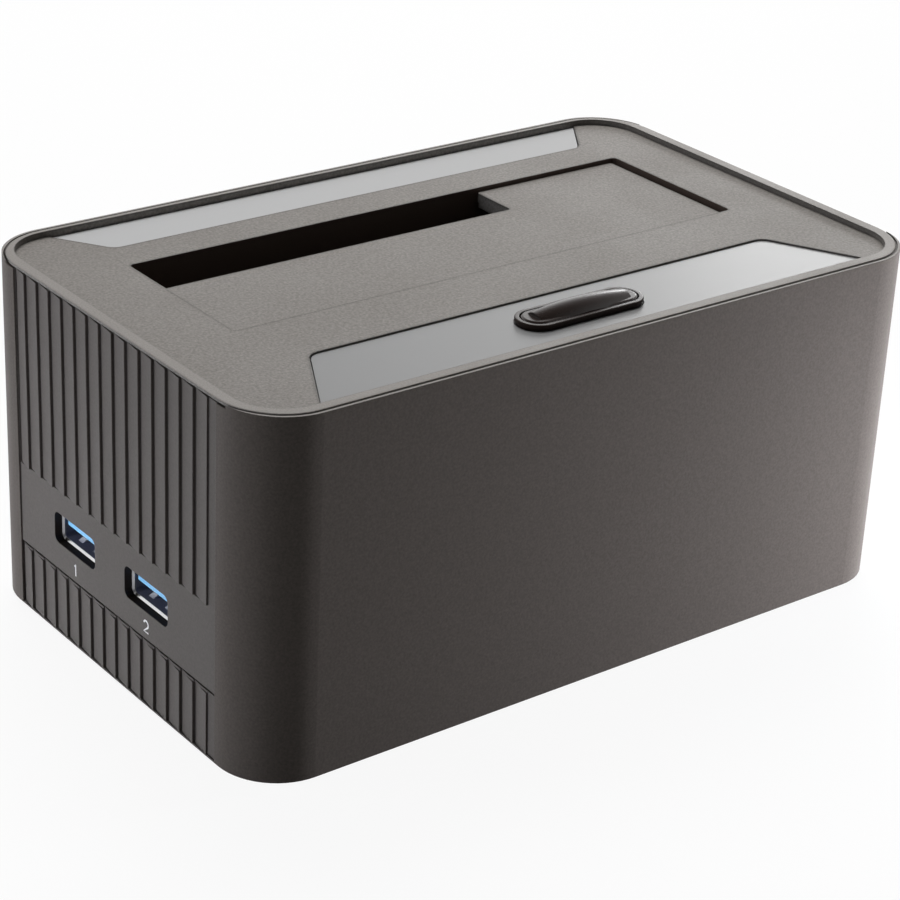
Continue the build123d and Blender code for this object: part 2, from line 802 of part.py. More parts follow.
# Dust flap: it swings down into the bay about a pin along its front edge
with BuildPart() as bay_flap:
    with BuildSketch(Plane.XY.offset(flap_z - flap_thickness)) as flap_plan:
        with BuildLine():
            Polyline(
                (flap_left_x, flap_front_y),
                (flap_right_x, flap_front_y),
                (flap_right_x, flap_back_y),
                (notch_right_x, flap_back_y),
                (notch_right_x, notch_front_y),
                (flap_left_x, notch_front_y),
                close=True,
            )
        make_face()
        fillet(flap_plan.vertices(), notch_round)
    extrude(amount=flap_thickness)
    # stiffening ribs along the free edges
    with BuildSketch(Plane.XY.offset(flap_z - flap_thickness - rib_depth)):
        with Locations(((flap_left_x + notch_right_x) / 2, notch_front_y - rib_width / 2)):
            Rectangle(notch_right_x - flap_left_x - 2 * rib_width, rib_width)
        with Locations((notch_right_x + rib_width / 2, (notch_front_y + flap_back_y) / 2)):
            Rectangle(rib_width, flap_back_y - notch_front_y - rib_width)
    extrude(amount=rib_depth)
    knuckle_left_x = flap_left_x + knuckle_end
    knuckle_right_x = flap_right_x - knuckle_end
    with BuildSketch(Plane.YZ.offset(knuckle_left_x)):
        with Locations((hinge_y, hinge_z)):
            Circle(knuckle_radius)
    extrude(amount=knuckle_right_x - knuckle_left_x)
    # pockets that leave room for the springs under the flap's skin
    with BuildSketch(Plane.XY.offset(flap_z - flap_thickness)):
        for pocket_x in (flap_left_x + knuckle_end / 2, flap_right_x - knuckle_end / 2):
            with Locations((pocket_x, hinge_y)):
                Rectangle(knuckle_end, 2 * (knuckle_radius + air_gap))
    extrude(amount=flap_thickness - spring_pocket_skin, mode=Mode.SUBTRACT)
    with BuildSketch(Plane.YZ.offset(flap_left_x - overrun)):
        with Locations((hinge_y, hinge_z)):
            Circle(pin_radius + bore_gap)
    extrude(amount=flap_right_x - flap_left_x + 2 * overrun, mode=Mode.SUBTRACT)
bay_flap.part.label = "bay_flap"
export_step(bay_flap.part, "parts/bay_flap.step")

with BuildPart() as flap_pin:
    with BuildSketch(Plane.YZ.offset(bay_left_x - collar_wall)):
        with Locations((hinge_y, hinge_z)):
            Circle(pin_radius)
    extrude(amount=bay_length + 2 * collar_wall)
flap_pin.part.label = "flap_pin"
export_step(flap_pin.part, "parts/flap_pin.step")


# Torsion springs round the flap's pin, one in each spring pocket
def torsion_spring(right_x):
    """A coil on the pin with a long leg under the flap and a short leg against the collar."""
    with BuildPart() as spring:
        with BuildLine():
            coil = Helix(
                coil_pitch,
                coil_length,
                coil_radius,
                center=(right_x, hinge_y, hinge_z),
                direction=(-1, 0, 0),
            )
        with BuildSketch(Plane(origin=coil @ 0, z_dir=coil % 0)):
            RegularPolygon(coil_wire / 2, wire_sides)
        sweep()
        with BuildSketch(Plane(origin=coil @ 0, z_dir=-(coil % 0))):
            RegularPolygon(coil_wire / 2, wire_sides)
        extrude(amount=coil_long_leg)
        with BuildSketch(Plane(origin=coil @ 1, z_dir=coil % 1)):
            RegularPolygon(coil_wire / 2, wire_sides)
        extrude(amount=coil_short_leg)
    return spring.part


coil_length = coil_pitch * coil_turns
left_spring = torsion_spring(flap_left_x + (knuckle_end + coil_length) / 2)
left_spring.label = "flap_spring_left"
export_step(left_spring, "parts/flap_spring_left.step")
right_spring = torsion_spring(flap_right_x - (knuckle_end - coil_length) / 2)
right_spring.label = "flap_spring_right"
export_step(right_spring, "parts/flap_spring_right.step")


# Button bezel: a flange on the inlay with a spigot down through the deck
with BuildPart() as button_bezel:
    with BuildSketch(Plane.XY.offset(deck_under)):
        with Locations((button_x, button_y)):
            SlotOverall(spigot_length, spigot_width)
    extrude(amount=inlay_top - deck_under)
    with BuildSketch(Plane.XY.offset(inlay_top)):
        with Locations((button_x, button_y)):
            SlotOverall(bezel_length - 2 * bezel_neck_inset, bezel_width - 2 * bezel_neck_inset)
    extrude(amount=bezel_neck)
    with BuildSketch(Plane.XY.offset(inlay_top + bezel_neck)):
        with Locations((button_x, button_y)):
            SlotOverall(bezel_length, bezel_width)
    extrude(amount=bezel_height - bezel_neck)
    fillet(button_bezel.faces().sort_by(Axis.Z)[-1].edges(), bezel_round)
    with BuildSketch(Plane.XY.offset(deck_under)):
        with Locations((button_x, button_y)):
            SlotOverall(cap_length + 2 * cap_gap, cap_width + 2 * cap_gap)
    extrude(amount=body_height, mode=Mode.SUBTRACT)
button_bezel.part.label = "button_bezel"
export_step(button_bezel.part, "parts/button_bezel.step")


# Arched bar along the cap's top, turned about an axis inside the cap and trimmed to its sides
cap_bottom = deck_under + cap_skirt
bar_axis_z = cap_top - cap_bar_core
bar_half = cap_bar_length / 2
with BuildPart() as cap_bar:
    with BuildSketch(Plane.XZ.offset(-button_y)):
        with BuildLine():
            ThreePointArc(
                (button_x - bar_half, cap_top + cap_bar_end),
                (button_x, cap_top + cap_bar_rise),
                (button_x + bar_half, cap_top + cap_bar_end),
            )
            Polyline(
                (button_x + bar_half, cap_top + cap_bar_end),
                (button_x + bar_half, bar_axis_z),
                (button_x - bar_half, bar_axis_z),
                (button_x - bar_half, cap_top + cap_bar_end),
            )
        make_face()
    revolve(axis=Axis((button_x, button_y, bar_axis_z), (1, 0, 0)))
    with BuildSketch(Plane.XY.offset(cap_top - cap_wall)):
        with Locations((button_x, button_y)):
            SlotOverall(cap_length, cap_width)
    extrude(amount=cap_wall + cap_bar_rise, mode=Mode.INTERSECT)


# Eject button: a low pad with the bar on it
with BuildPart() as eject_button:
    with BuildSketch(Plane.XY.offset(cap_bottom)):
        with Locations((button_x, button_y)):
            SlotOverall(cap_length, cap_width)
    extrude(amount=cap_top - cap_bottom)
    fillet(eject_button.faces().sort_by(Axis.Z)[-1].edges(), cap_edge_round)
    add(cap_bar.part)
    # hollow underneath, with a boss for the plunger
    with BuildSketch(Plane.XY.offset(cap_bottom)):
        with Locations((button_x, button_y)):
            SlotOverall(cap_length - 2 * cap_wall, cap_width - 2 * cap_wall)
            Circle(plunger_radius, mode=Mode.SUBTRACT)
    extrude(amount=cap_top - cap_wall - cap_bottom, mode=Mode.SUBTRACT)
eject_button.part.label = "eject_button"
export_step(eject_button.part, "parts/eject_button.step")


# Plunger: a rod from the cap down to the lever, with the flange that the spring lifts
plunger_bottom = lever_pivot_z + lever_pad_radius + air_gap
flange_top = well_floor_z - well_floor - air_gap
with BuildPart() as button_plunger:
    with BuildSketch(Plane.XY.offset(plunger_bottom)):
        with Locations((button_x, button_y)):
            Circle(plunger_radius)
    extrude(amount=cap_bottom - plunger_bottom)
    with BuildSketch(Plane.XY.offset(flange_top - plunger_flange)):
        with Locations((button_x, button_y)):
            Circle(plunger_flange_radius)
    extrude(amount=plunger_flange)
    chamfer(button_plunger.faces().sort_by(Axis.Z)[0].edges(), plunger_chamfer)
button_plunger.part.label = "button_plunger"
export_step(button_plunger.part, "parts/button_plunger.step")


# Retainer that closes the sleeve below the spring
with BuildPart() as spring_retainer:
    with BuildSketch(Plane.XY.offset(sleeve_bottom - retainer_thickness)):
        with Locations((button_x, button_y)):
            Circle(sleeve_radius + sleeve_wall)
    extrude(amount=retainer_thickness)
    with BuildSketch(Plane.XY.offset(sleeve_bottom)):
        with Locations((button_x, button_y)):
            Circle(sleeve_radius - fit_gap)
    extrude(amount=retainer_thickness)
    with BuildSketch(Plane.XY.offset(sleeve_bottom - retainer_thickness)):
        with Locations((button_x, button_y)):
            Circle(plunger_radius + fit_gap)
    extrude(amount=2 * retainer_thickness, mode=Mode.SUBTRACT)
spring_retainer.part.label = "spring_retainer"
export_step(spring_retainer.part, "parts/spring_retainer.step")


# Return spring of the button, an open coil round the plunger
spring_low = sleeve_bottom + retainer_thickness + button_spring_wire
spring_high = flange_top - plunger_flange - button_spring_wire
with BuildPart() as button_spring:
    with BuildLine(Plane(origin=(button_x, button_y, spring_low))):
        Helix((spring_high - spring_low) / button_spring_turns, spring_high - spring_low,
              button_spring_radius)
    with BuildSketch(Plane(origin=(button_x + button_spring_radius, button_y, spring_low),
                           z_dir=(0, 1, 0))):
        RegularPolygon(button_spring_wire / 2, wire_sides)
    sweep()
button_spring.part.label = "button_spring"
export_step(button_spring.part, "parts/button_spring.step")


# Eject lever: a rocker with a pad under the plunger and a long arm under the drive
rear_tip_y = slot_back_y - lever_slot_gap - lever_pad_radius
rear_tip_z = lever_pivot_z - lever_rear_drop
with BuildPart() as eject_lever:
    with BuildSketch(Plane.YZ.offset(button_x - lever_width / 2)):
        with Locations((lever_pivot_y, lever_pivot_z)):
            Circle(lever_hub_radius)
        with Locations((button_y, lever_pivot_z), (rear_tip_y, rear_tip_z)):
            Circle(lever_pad_radius)
        with BuildLine():
            Polyline(
                (button_y, lever_pivot_z + lever_pad_radius),
                (button_y, lever_pivot_z - lever_pad_radius),
                (lever_pivot_y, lever_pivot_z - lever_pad_radius),
                (lever_pivot_y, lever_pivot_z + lever_pad_radius),
                close=True,
            )
        make_face()
        with BuildLine():
            Polyline(
                (lever_pivot_y, lever_pivot_z + lever_pad_radius / 2),
                (lever_pivot_y - lever_pad_radius, rear_tip_z - lever_pad_radius + lever_pad_radius / 2),
                (lever_pivot_y + lever_hub_radius, rear_tip_z - lever_pad_radius),
                (rear_tip_y, rear_tip_z - lever_pad_radius),
                (rear_tip_y, rear_tip_z + lever_pad_radius),
                (lever_pivot_y + 2 * lever_hub_radius, rear_tip_z + lever_pad_radius),
                close=True,
            )
        make_face()
        with Locations((lever_pivot_y, lever_pivot_z)):
            Circle(lever_pin_radius + bore_gap, mode=Mode.SUBTRACT)
    extrude(amount=lever_width)
eject_lever.part.label = "eject_lever"
export_step(eject_lever.part, "parts/eject_lever.step")

with BuildPart() as lever_pin:
    pin_half = lever_width / 2 + ear_gap + ear_thickness
    with BuildSketch(Plane.YZ.offset(button_x - pin_half)):
        with Locations((lever_pivot_y, lever_pivot_z)):
            Circle(lever_pin_radius)
    extrude(amount=2 * pin_half)
lever_pin.part.label = "lever_pin"
export_step(lever_pin.part, "parts/lever_pin.step")


# Main board, notched at the back for the posts
with BuildPart() as main_board:
    with BuildSketch(Plane.XY.offset(board_z)):
        with Locations((0, (board_front_y + board_notch_y) / 2)):
            Rectangle(2 * board_half_length, board_notch_y - board_front_y)
        with Locations((0, (board_front_y + board_back_y) / 2)):
            Rectangle(2 * board_notch_x, board_back_y - board_front_y)
        with Locations(*tab_places):
            Circle(screw_radius + fit_gap, mode=Mode.SUBTRACT)
    extrude(amount=board_thickness)
main_board.part.label = "main_board"
export_step(main_board.part, "parts/main_board.step")

with BuildPart() as board_chips:
    for chip_share, chip_size in zip(chip_place_shares, chip_sizes):
        with BuildSketch(Plane.XY.offset(board_top)):
            with Locations((chip_share * board_half_length, strip_mid_y)):
                Rectangle(chip_size, chip_size)
        extrude(amount=chip_height)
    chamfer(board_chips.faces().group_by(Axis.Z)[-1].edges(), chip_chamfer)
board_chips.part.label = "board_chips"
export_step(board_chips.part, "parts/board_chips.step")

with BuildPart() as board_capacitors:
    for can_x, can_y in can_places:
        with BuildSketch(Plane.XY.offset(board_top)):
            with Locations((can_x, can_y)):
                Circle(can_radius)
        extrude(amount=can_height)
    chamfer(board_capacitors.faces().group_by(Axis.Z)[-1].edges(), can_chamfer)
board_capacitors.part.label = "board_capacitors"
export_step(board_capacitors.part, "parts/board_capacitors.step")

with BuildPart() as board_inductors:
    for block_x, block_y in coil_block_places:
        with BuildSketch(Plane.XY.offset(board_top)):
            with Locations((block_x, block_y)):
                RectangleRounded(coil_block_size, coil_block_size, coil_block_round)
        extrude(amount=coil_block_height)
board_inductors.part.label = "board_inductors"
export_step(board_inductors.part, "parts/board_inductors.step")


# Side board that carries the two side ports, and the header that joins it to the main board
with BuildPart() as side_board:
    with BuildSketch(Plane.XY.offset(side_board_z)):
        with Locations(((side_board_left_x + side_board_right_x) / 2, side_board_mid_y)):
            Rectangle(side_board_right_x - side_board_left_x, side_board_back_y - side_board_front_y)
    extrude(amount=side_board_thickness)
side_board.part.label = "side_board"
export_step(side_board.part, "parts/side_board.step")

with BuildPart() as board_link:
    with BuildSketch(Plane.XY.offset(board_top)):
        with Locations((link_x, side_board_mid_y)):
            Rectangle(link_width, link_length)
    extrude(amount=side_board_z - board_top)
board_link.part.label = "board_link"
export_step(board_link.part, "parts/board_link.step")


# Side ports, one set of three pieces for each
for number, port_y in enumerate(port_ys, start=1):
    with BuildPart() as port_shell:
        with BuildSketch(Plane.YZ.offset(port_front_x)):
            with Locations((port_y, port_z)):
                RectangleRounded(port_length, port_height, port_shell_round)
        extrude(amount=port_depth)
        with BuildSketch(Plane.YZ.offset(port_front_x)):
            with Locations((port_y, port_z)):
                RectangleRounded(port_inner_length, port_inner_height, port_inner_round)
        extrude(amount=port_depth, mode=Mode.SUBTRACT)
        mouth = port_shell.faces().sort_by(Axis.X)[0].inner_wires()[0]
        chamfer(mouth.edges(), port_mouth_chamfer)
        # two latches bent up from the floor
        latch_low = port_bottom_z + port_shell_wall / 2
        latch_x = port_front_x + latch_set_back
        latch_mid_y = port_y + latch_offset
        for latch_y in (latch_mid_y + latch_spread / 2, latch_mid_y - latch_spread / 2):
            with BuildSketch(Plane.XZ.offset(-latch_y - latch_width / 2)):
                with BuildLine():
                    Polyline(
                        (latch_x, latch_low),
                        (latch_x, latch_low + port_shell_wall / 2),
                        (latch_x + latch_length, latch_low + port_shell_wall / 2 + latch_rise),
                        (latch_x + latch_length, latch_low),
                        close=True,
                    )
                make_face()
            extrude(amount=latch_width)
    port_shell.part.label = f"usb_shell_{number}"
    export_step(port_shell.part, f"parts/usb_shell_{number}.step")

    with BuildPart() as port_core:
        with BuildSketch(Plane.YZ.offset(port_back_x - core_length)):
            with Locations((port_y, port_z)):
                RectangleRounded(port_inner_length, port_inner_height, port_inner_round)
        extrude(amount=core_length)
        with BuildSketch(Plane.YZ.offset(port_front_x + tongue_set_back)):
            with Locations((port_y, tongue_z)):
                Rectangle(tongue_width, tongue_thickness)
        extrude(amount=port_depth - core_length - tongue_set_back)
    port_core.part.label = f"usb_core_{number}"
    export_step(port_core.part, f"parts/usb_core_{number}.step")

    with BuildPart() as port_contacts:
        contact_top = tongue_z - tongue_thickness / 2
        contact_front_x = port_back_x - core_length - contact_length
        with BuildSketch(Plane.XY.offset(contact_top - contact_thickness)):
            with Locations((contact_front_x + contact_length / 2, port_y)):
                with GridLocations(0, contact_pitch, 1, contact_count):
                    Rectangle(contact_length, contact_width)
        extrude(amount=contact_thickness)
    port_contacts.part.label = f"usb_contacts_{number}"
    export_step(port_contacts.part, f"parts/usb_contacts_{number}.step")


# Drive connector: an upright block with one slot for power and one for data
sata_top = bay_floor_z + sata_above_floor
power_mid_x = sata_x + (sata_length - sata_power_length) / 2 - sata_slot_spread
data_mid_x = sata_x - (sata_length - sata_data_length) / 2 + sata_slot_spread
with BuildPart() as sata_connector:
    with BuildSketch(Plane.XY.offset(board_top)):
        with Locations((sata_x, sata_y)):
            Rectangle(sata_length, sata_width)
    extrude(amount=sata_top - board_top)
    chamfer(sata_connector.faces().sort_by(Axis.Z)[-1].edges(), sata_chamfer)
    with BuildSketch(Plane.XY.offset(board_top)):
        horn_x = (sata_length + sata_horn) / 2
        with Locations((sata_x - horn_x, sata_y), (sata_x + horn_x, sata_y)):
            Rectangle(sata_horn, sata_width)
    extrude(amount=bay_floor_z + sata_horn_height - board_top)
    with BuildSketch(Plane.XY.offset(sata_top - sata_slot_depth)):
        with Locations((power_mid_x, sata_y)):
            Rectangle(sata_power_length, sata_slot_width)
        with Locations((data_mid_x, sata_y)):
            Rectangle(sata_data_length, sata_slot_width)
        with Locations(
            (power_mid_x - (sata_power_length - sata_key) / 2, sata_y - sata_key / 2),
            (data_mid_x + (sata_data_length - sata_key) / 2, sata_y - sata_key / 2),
        ):
            Rectangle(sata_key, sata_slot_width)
    extrude(amount=sata_slot_depth, mode=Mode.SUBTRACT)
sata_connector.part.label = "sata_connector"
export_step(sata_connector.part, "parts/sata_connector.step")

with BuildPart() as sata_contacts:
    blade_y = sata_y + (sata_slot_width - blade_thickness) / 2
    with BuildSketch(Plane.XY.offset(sata_top - sata_slot_depth)):
        with Locations((power_mid_x, blade_y)):
            with GridLocations(blade_pitch, 0, power_blades, 1):
                Rectangle(blade_width, blade_thickness)
        with Locations((data_mid_x, blade_y)):
            with GridLocations(blade_pitch, 0, data_blades, 1):
                Rectangle(blade_width, blade_thickness)
    extrude(amount=sata_slot_depth - blade_width)
sata_contacts.part.label = "sata_contacts"
export_step(sata_contacts.part, "parts/sata_contacts.step")


# Power input: a moulded block with a round mouth, and the pin in its middle
jack_z = board_top + jack_height / 2
with BuildPart() as dc_jack:
    with BuildSketch(Plane.XZ.offset(-socket_face_y)):
        with Locations((jack_x, jack_z)):
            Rectangle(jack_width, jack_height)
    extrude(amount=jack_depth)
    with BuildSketch(Plane.XZ.offset(-socket_face_y)):
        with Locations((jack_x, jack_z)):
            Circle(jack_bore_radius)
    extrude(amount=jack_bore_depth, mode=Mode.SUBTRACT)
dc_jack.part.label = "dc_jack"
export_step(dc_jack.part, "parts/dc_jack.step")

with BuildPart() as dc_jack_pin:
    with BuildSketch(Plane.XZ.offset(-socket_face_y + jack_pin_set_back)):
        with Locations((jack_x, jack_z)):
            Circle(jack_pin_radius)
    extrude(amount=jack_bore_depth - jack_pin_set_back)
    chamfer(dc_jack_pin.faces().sort_by(Axis.Y)[-1].edges(), jack_pin_chamfer)
dc_jack_pin.part.label = "dc_jack_pin"
export_step(dc_jack_pin.part, "parts/dc_jack_pin.step")


# Host port: a stepped metal shell with a moulded core
def host_outline(inset):
    """The port's mouth: a square-shouldered lower part with cut corners and a narrower top."""
    half = host_width / 2 - inset
    step_half = host_step_width / 2 - inset
    low = board_top + inset
    high = board_top + host_height - inset
    step = board_top + host_height - host_step_height - inset
    cut = host_chamfer
    return [
        (host_x - half, low),
        (host_x + half, low),
        (host_x + half, step - cut),
        (host_x + half - cut, step),
        (host_x + step_half, step),
        (host_x + step_half, high),
        (host_x - step_half, high),
        (host_x - step_half, step),
        (host_x - half + cut, step),
        (host_x - half, step - cut),
    ]


with BuildPart() as host_shell:
    with BuildSketch(Plane.XZ.offset(-socket_face_y)):
        with BuildLine():
            Polyline(*host_outline(0), close=True)
        make_face()
        with BuildLine():
            Polyline(*host_outline(host_wall), close=True)
        make_face(mode=Mode.SUBTRACT)
    extrude(amount=host_depth)
host_shell.part.label = "host_shell"
export_step(host_shell.part, "parts/host_shell.step")

with BuildPart() as host_core:
    with BuildSketch(Plane.XZ.offset(-socket_face_y + host_depth - host_core_length)):
        with BuildLine():
            Polyline(*host_outline(host_wall), close=True)
        make_face()
    extrude(amount=host_core_length)
    with BuildSketch(Plane.XZ.offset(-socket_face_y + host_depth - host_core_length - host_tongue_length)):
        with Locations((host_x, board_top + host_tongue_rise)):
            Rectangle(host_tongue_width, host_tongue_height)
    extrude(amount=host_tongue_length)
host_core.part.label = "host_core"
export_step(host_core.part, "parts/host_core.step")


# Power switch: a flanged housing with a rocker on two stub pins
rocker_pivot_y = panel_face_y - rocker_pivot_depth
with BuildPart() as switch_body:
    with BuildSketch(Plane.XZ.offset(-panel_face_y)):
        with Locations((switch_x, switch_z)):
            Rectangle(switch_width, switch_height)
    extrude(amount=switch_depth)
    with BuildSketch(Plane.XZ.offset(-panel_face_y)):
        with Locations((switch_x, switch_z)):
            RectangleRounded(
                switch_width + 2 * switch_flange, switch_height + 2 * switch_flange, switch_flange
            )
    extrude(amount=-switch_flange_thickness)
    cavity_depth = rocker_pivot_depth + rocker_radius + rocker_gap
    with BuildSketch(Plane.XZ.offset(-panel_face_y - switch_flange_thickness)):
        with Locations((switch_x, switch_z)):
            Rectangle(2 * (rocker_radius + rocker_gap), rocker_width + 2 * rocker_gap)
    extrude(amount=cavity_depth + switch_flange_thickness, mode=Mode.SUBTRACT)
    with BuildSketch(Plane.XY.offset(switch_z - rocker_width / 2 - rocker_gap - rocker_pin_length)):
        with Locations((switch_x, rocker_pivot_y)):
            Circle(rocker_pin_radius + bore_gap)
    extrude(amount=rocker_width + 2 * (rocker_gap + rocker_pin_length), mode=Mode.SUBTRACT)
switch_body.part.label = "switch_body"
export_step(switch_body.part, "parts/switch_body.step")

rocker_face = rocker_pivot_depth + switch_flange_thickness - rocker_gap
with BuildPart() as power_rocker:
    rocker_plane = Plane(
        origin=(switch_x, rocker_pivot_y, switch_z - rocker_width / 2), z_dir=(0, 0, 1)
    ).rotated((0, 0, rocker_tilt))
    with BuildSketch(rocker_plane):
        Circle(rocker_radius)
        drop = rocker_radius * sin(radians(rocker_face_angle))
        with BuildLine():
            Polyline(
                (-2 * rocker_radius, rocker_face),
                (0, rocker_face - drop),
                (2 * rocker_radius, rocker_face),
                (2 * rocker_radius, 2 * rocker_radius),
                (-2 * rocker_radius, 2 * rocker_radius),
                close=True,
            )
        make_face(mode=Mode.SUBTRACT)
    extrude(amount=rocker_width)
    with BuildSketch(Plane.XY.offset(switch_z - rocker_width / 2 - rocker_gap - rocker_pin_length / 2)):
        with Locations((switch_x, rocker_pivot_y)):
            Circle(rocker_pin_radius)
    extrude(amount=rocker_width + 2 * rocker_gap + rocker_pin_length)
power_rocker.part.label = "power_rocker"
export_step(power_rocker.part, "parts/power_rocker.step")


# Rubber feet in their recesses
for foot_name, (spot_x, spot_y) in foot_places.items():
    with BuildPart() as foot:
        with BuildSketch(Plane.XY):
            with Locations((spot_x, spot_y)):
                Circle(foot_radius)
        extrude(amount=foot_proud + foot_sink)
        chamfer(foot.faces().sort_by(Axis.Z)[0].edges(), foot_chamfer)
    foot.part.label = foot_name
    export_step(foot.part, f"parts/{foot_name}.step")


# Screws: four hold the base, four hold the bay and the main board
with BuildPart() as case_screws:
    head_gap = air_gap / 2
    with BuildSketch(Plane.XY.offset(floor_z + head_gap)):
        with Locations(*post_places):
            Circle(screw_head_radius)
    extrude(amount=screw_head_height - head_gap)
    with BuildSketch(Plane.XY.offset(floor_z + screw_head_height)):
        with Locations(*post_places):
            Circle(screw_radius)
    extrude(amount=case_screw_length - screw_head_height)
case_screws.part.label = "case_screws"
export_step(case_screws.part, "parts/case_screws.step")

with BuildPart() as board_screws:
    with BuildSketch(Plane.XY.offset(board_z - board_screw_depth)):
        with Locations(*tab_places):
            Circle(screw_radius)
    extrude(amount=bay_floor_z - board_z + board_screw_depth)
    with BuildSketch(Plane.XY.offset(bay_floor_z)):
        with Locations(*tab_places):
            Circle(screw_head_radius)
    extrude(amount=board_screw_head)
    chamfer(board_screws.faces().group_by(Axis.Z)[-1].edges(), board_screw_chamfer)
board_screws.part.label = "board_screws"
export_step(board_screws.part, "parts/board_screws.step")
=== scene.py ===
from math import cos, radians, sin

import bpy
from mathutils import Matrix, Vector


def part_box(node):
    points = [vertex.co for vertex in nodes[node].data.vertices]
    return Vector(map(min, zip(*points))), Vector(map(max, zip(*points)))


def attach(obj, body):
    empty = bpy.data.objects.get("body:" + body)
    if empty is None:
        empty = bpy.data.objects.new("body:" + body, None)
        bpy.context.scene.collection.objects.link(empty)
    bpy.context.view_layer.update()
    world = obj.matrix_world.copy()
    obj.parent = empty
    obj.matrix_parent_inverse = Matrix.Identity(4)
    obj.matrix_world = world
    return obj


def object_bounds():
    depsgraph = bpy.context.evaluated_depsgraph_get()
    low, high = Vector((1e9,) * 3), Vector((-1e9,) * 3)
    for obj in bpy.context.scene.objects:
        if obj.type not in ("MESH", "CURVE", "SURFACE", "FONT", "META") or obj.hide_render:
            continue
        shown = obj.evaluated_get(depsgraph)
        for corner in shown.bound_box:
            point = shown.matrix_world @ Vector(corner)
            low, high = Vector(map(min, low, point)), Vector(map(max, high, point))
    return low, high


# Looks, printed marks, floor, light and camera for a hard drive dock, whose solids come from the
# frame. The front faces -Y, the side ports face -X, and lengths are in metres.
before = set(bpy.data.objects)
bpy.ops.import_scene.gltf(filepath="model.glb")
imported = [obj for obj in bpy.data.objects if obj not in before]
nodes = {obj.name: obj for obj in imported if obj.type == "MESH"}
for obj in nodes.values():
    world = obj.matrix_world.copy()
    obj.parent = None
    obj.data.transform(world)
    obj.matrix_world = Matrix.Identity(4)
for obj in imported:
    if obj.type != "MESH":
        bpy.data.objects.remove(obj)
cad_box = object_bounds()

MM = 0.001
ACROSS, BACKWARD, UPWARD = Vector((1, 0, 0)), Vector((0, 1, 0)), Vector((0, 0, 1))
WHITE = (1.0, 1.0, 1.0)


# ---------------------------------------------------------------- shader helpers
def feed(tree, socket, value):
    """Sets a socket to a number or a colour, or links it to another node's output."""
    if isinstance(value, bpy.types.NodeSocket):
        tree.links.new(value, socket)
    elif isinstance(value, tuple):
        socket.default_value = (*value, 1.0)
    else:
        socket.default_value = value


def new_material(name):
    """A material with nothing in it but a principled shader and its output."""
    material = bpy.data.materials.new(name)
    material.use_nodes = True
    tree = material.node_tree
    tree.nodes.clear()
    output = tree.nodes.new("ShaderNodeOutputMaterial")
    shader = tree.nodes.new("ShaderNodeBsdfPrincipled")
    tree.links.new(shader.outputs["BSDF"], output.inputs["Surface"])
    return material, tree, shader


def noise(tree, size, detail=2.0, roughness=0.5):
    """A noise texture whose features are about size metres across."""
    texture = tree.nodes.new("ShaderNodeTexNoise")
    texture.inputs["Scale"].default_value = 1.0 / size
    texture.inputs["Detail"].default_value = detail
    texture.inputs["Roughness"].default_value = roughness
    place = tree.nodes.new("ShaderNodeTexCoord")
    tree.links.new(place.outputs["Object"], texture.inputs["Vector"])
    return texture.outputs["Fac"]


def ramp(tree, value, low, high, start, end, kind="LINEAR"):
    """A value that runs from start to end while the input runs from low to high."""
    node = tree.nodes.new("ShaderNodeMapRange")
    node.interpolation_type = kind
    node.inputs["From Min"].default_value = low
    node.inputs["From Max"].default_value = high
    node.inputs["To Min"].default_value = start
    node.inputs["To Max"].default_value = end
    tree.links.new(value, node.inputs["Value"])
    return node.outputs["Result"]


def spread(tree, value, low, high):
    """Stretches a noise, most of which lies between 0.3 and 0.7, to run from low to high."""
    return ramp(tree, value, 0.3, 0.7, low, high)


def mix_colours(tree, factor, first, second):
    """Runs from the first colour to the second while the factor runs from 0 to 1."""
    node = tree.nodes.new("ShaderNodeMix")
    node.data_type = "RGBA"
    for socket, value in (("Factor", factor), ("A", first), ("B", second)):
        feed(tree, node.inputs[socket], value)
    return node.outputs["Result"]


def math_node(tree, operation, first, second):
    """One arithmetic step on two values, each a number or a node's output."""
    node = tree.nodes.new("ShaderNodeMath")
    node.operation = operation
    for socket, value in zip(node.inputs, (first, second)):
        feed(tree, socket, value)
    return node.outputs["Value"]


def scaled(colour, factor):
    """A colour made lighter or darker, with no channel above 1."""
    return tuple(min(1.0, channel * factor) for channel in colour)


def rounded_normal(tree, radius, samples=4):
    """The surface's direction as if its sharp edges had this radius."""
    rounding = tree.nodes.new("ShaderNodeBevel")
    rounding.samples = samples
    rounding.inputs["Radius"].default_value = radius
    return rounding.outputs["Normal"]


def add_relief(tree, shader, height, depth, edge):
    """Bumps of this depth on a surface whose sharp edges are rounded to this radius."""
    relief = tree.nodes.new("ShaderNodeBump")
    relief.inputs["Distance"].default_value = depth
    tree.links.new(height, relief.inputs["Height"])
    tree.links.new(rounded_normal(tree, edge), relief.inputs["Normal"])
    tree.links.new(relief.outputs["Normal"], shader.inputs["Normal"])


def paint_edge_shade(tree, tint, colour, width):
    """A tint with painted shade along sharp edges, standing for the shadow at seams and steps."""
    edge_shade = 0.4
    most, bent, flat = 0.9, 0.75, 0.99
    turn = tree.nodes.new("ShaderNodeVectorMath")
    turn.operation = "DOT_PRODUCT"
    tree.links.new(rounded_normal(tree, width, samples=6), turn.inputs[0])
    tree.links.new(tree.nodes.new("ShaderNodeNewGeometry").outputs["Normal"], turn.inputs[1])
    near_edge = ramp(tree, turn.outputs["Value"], bent, flat, most, 0.0)
    return mix_colours(tree, near_edge, tint, scaled(colour, edge_shade))


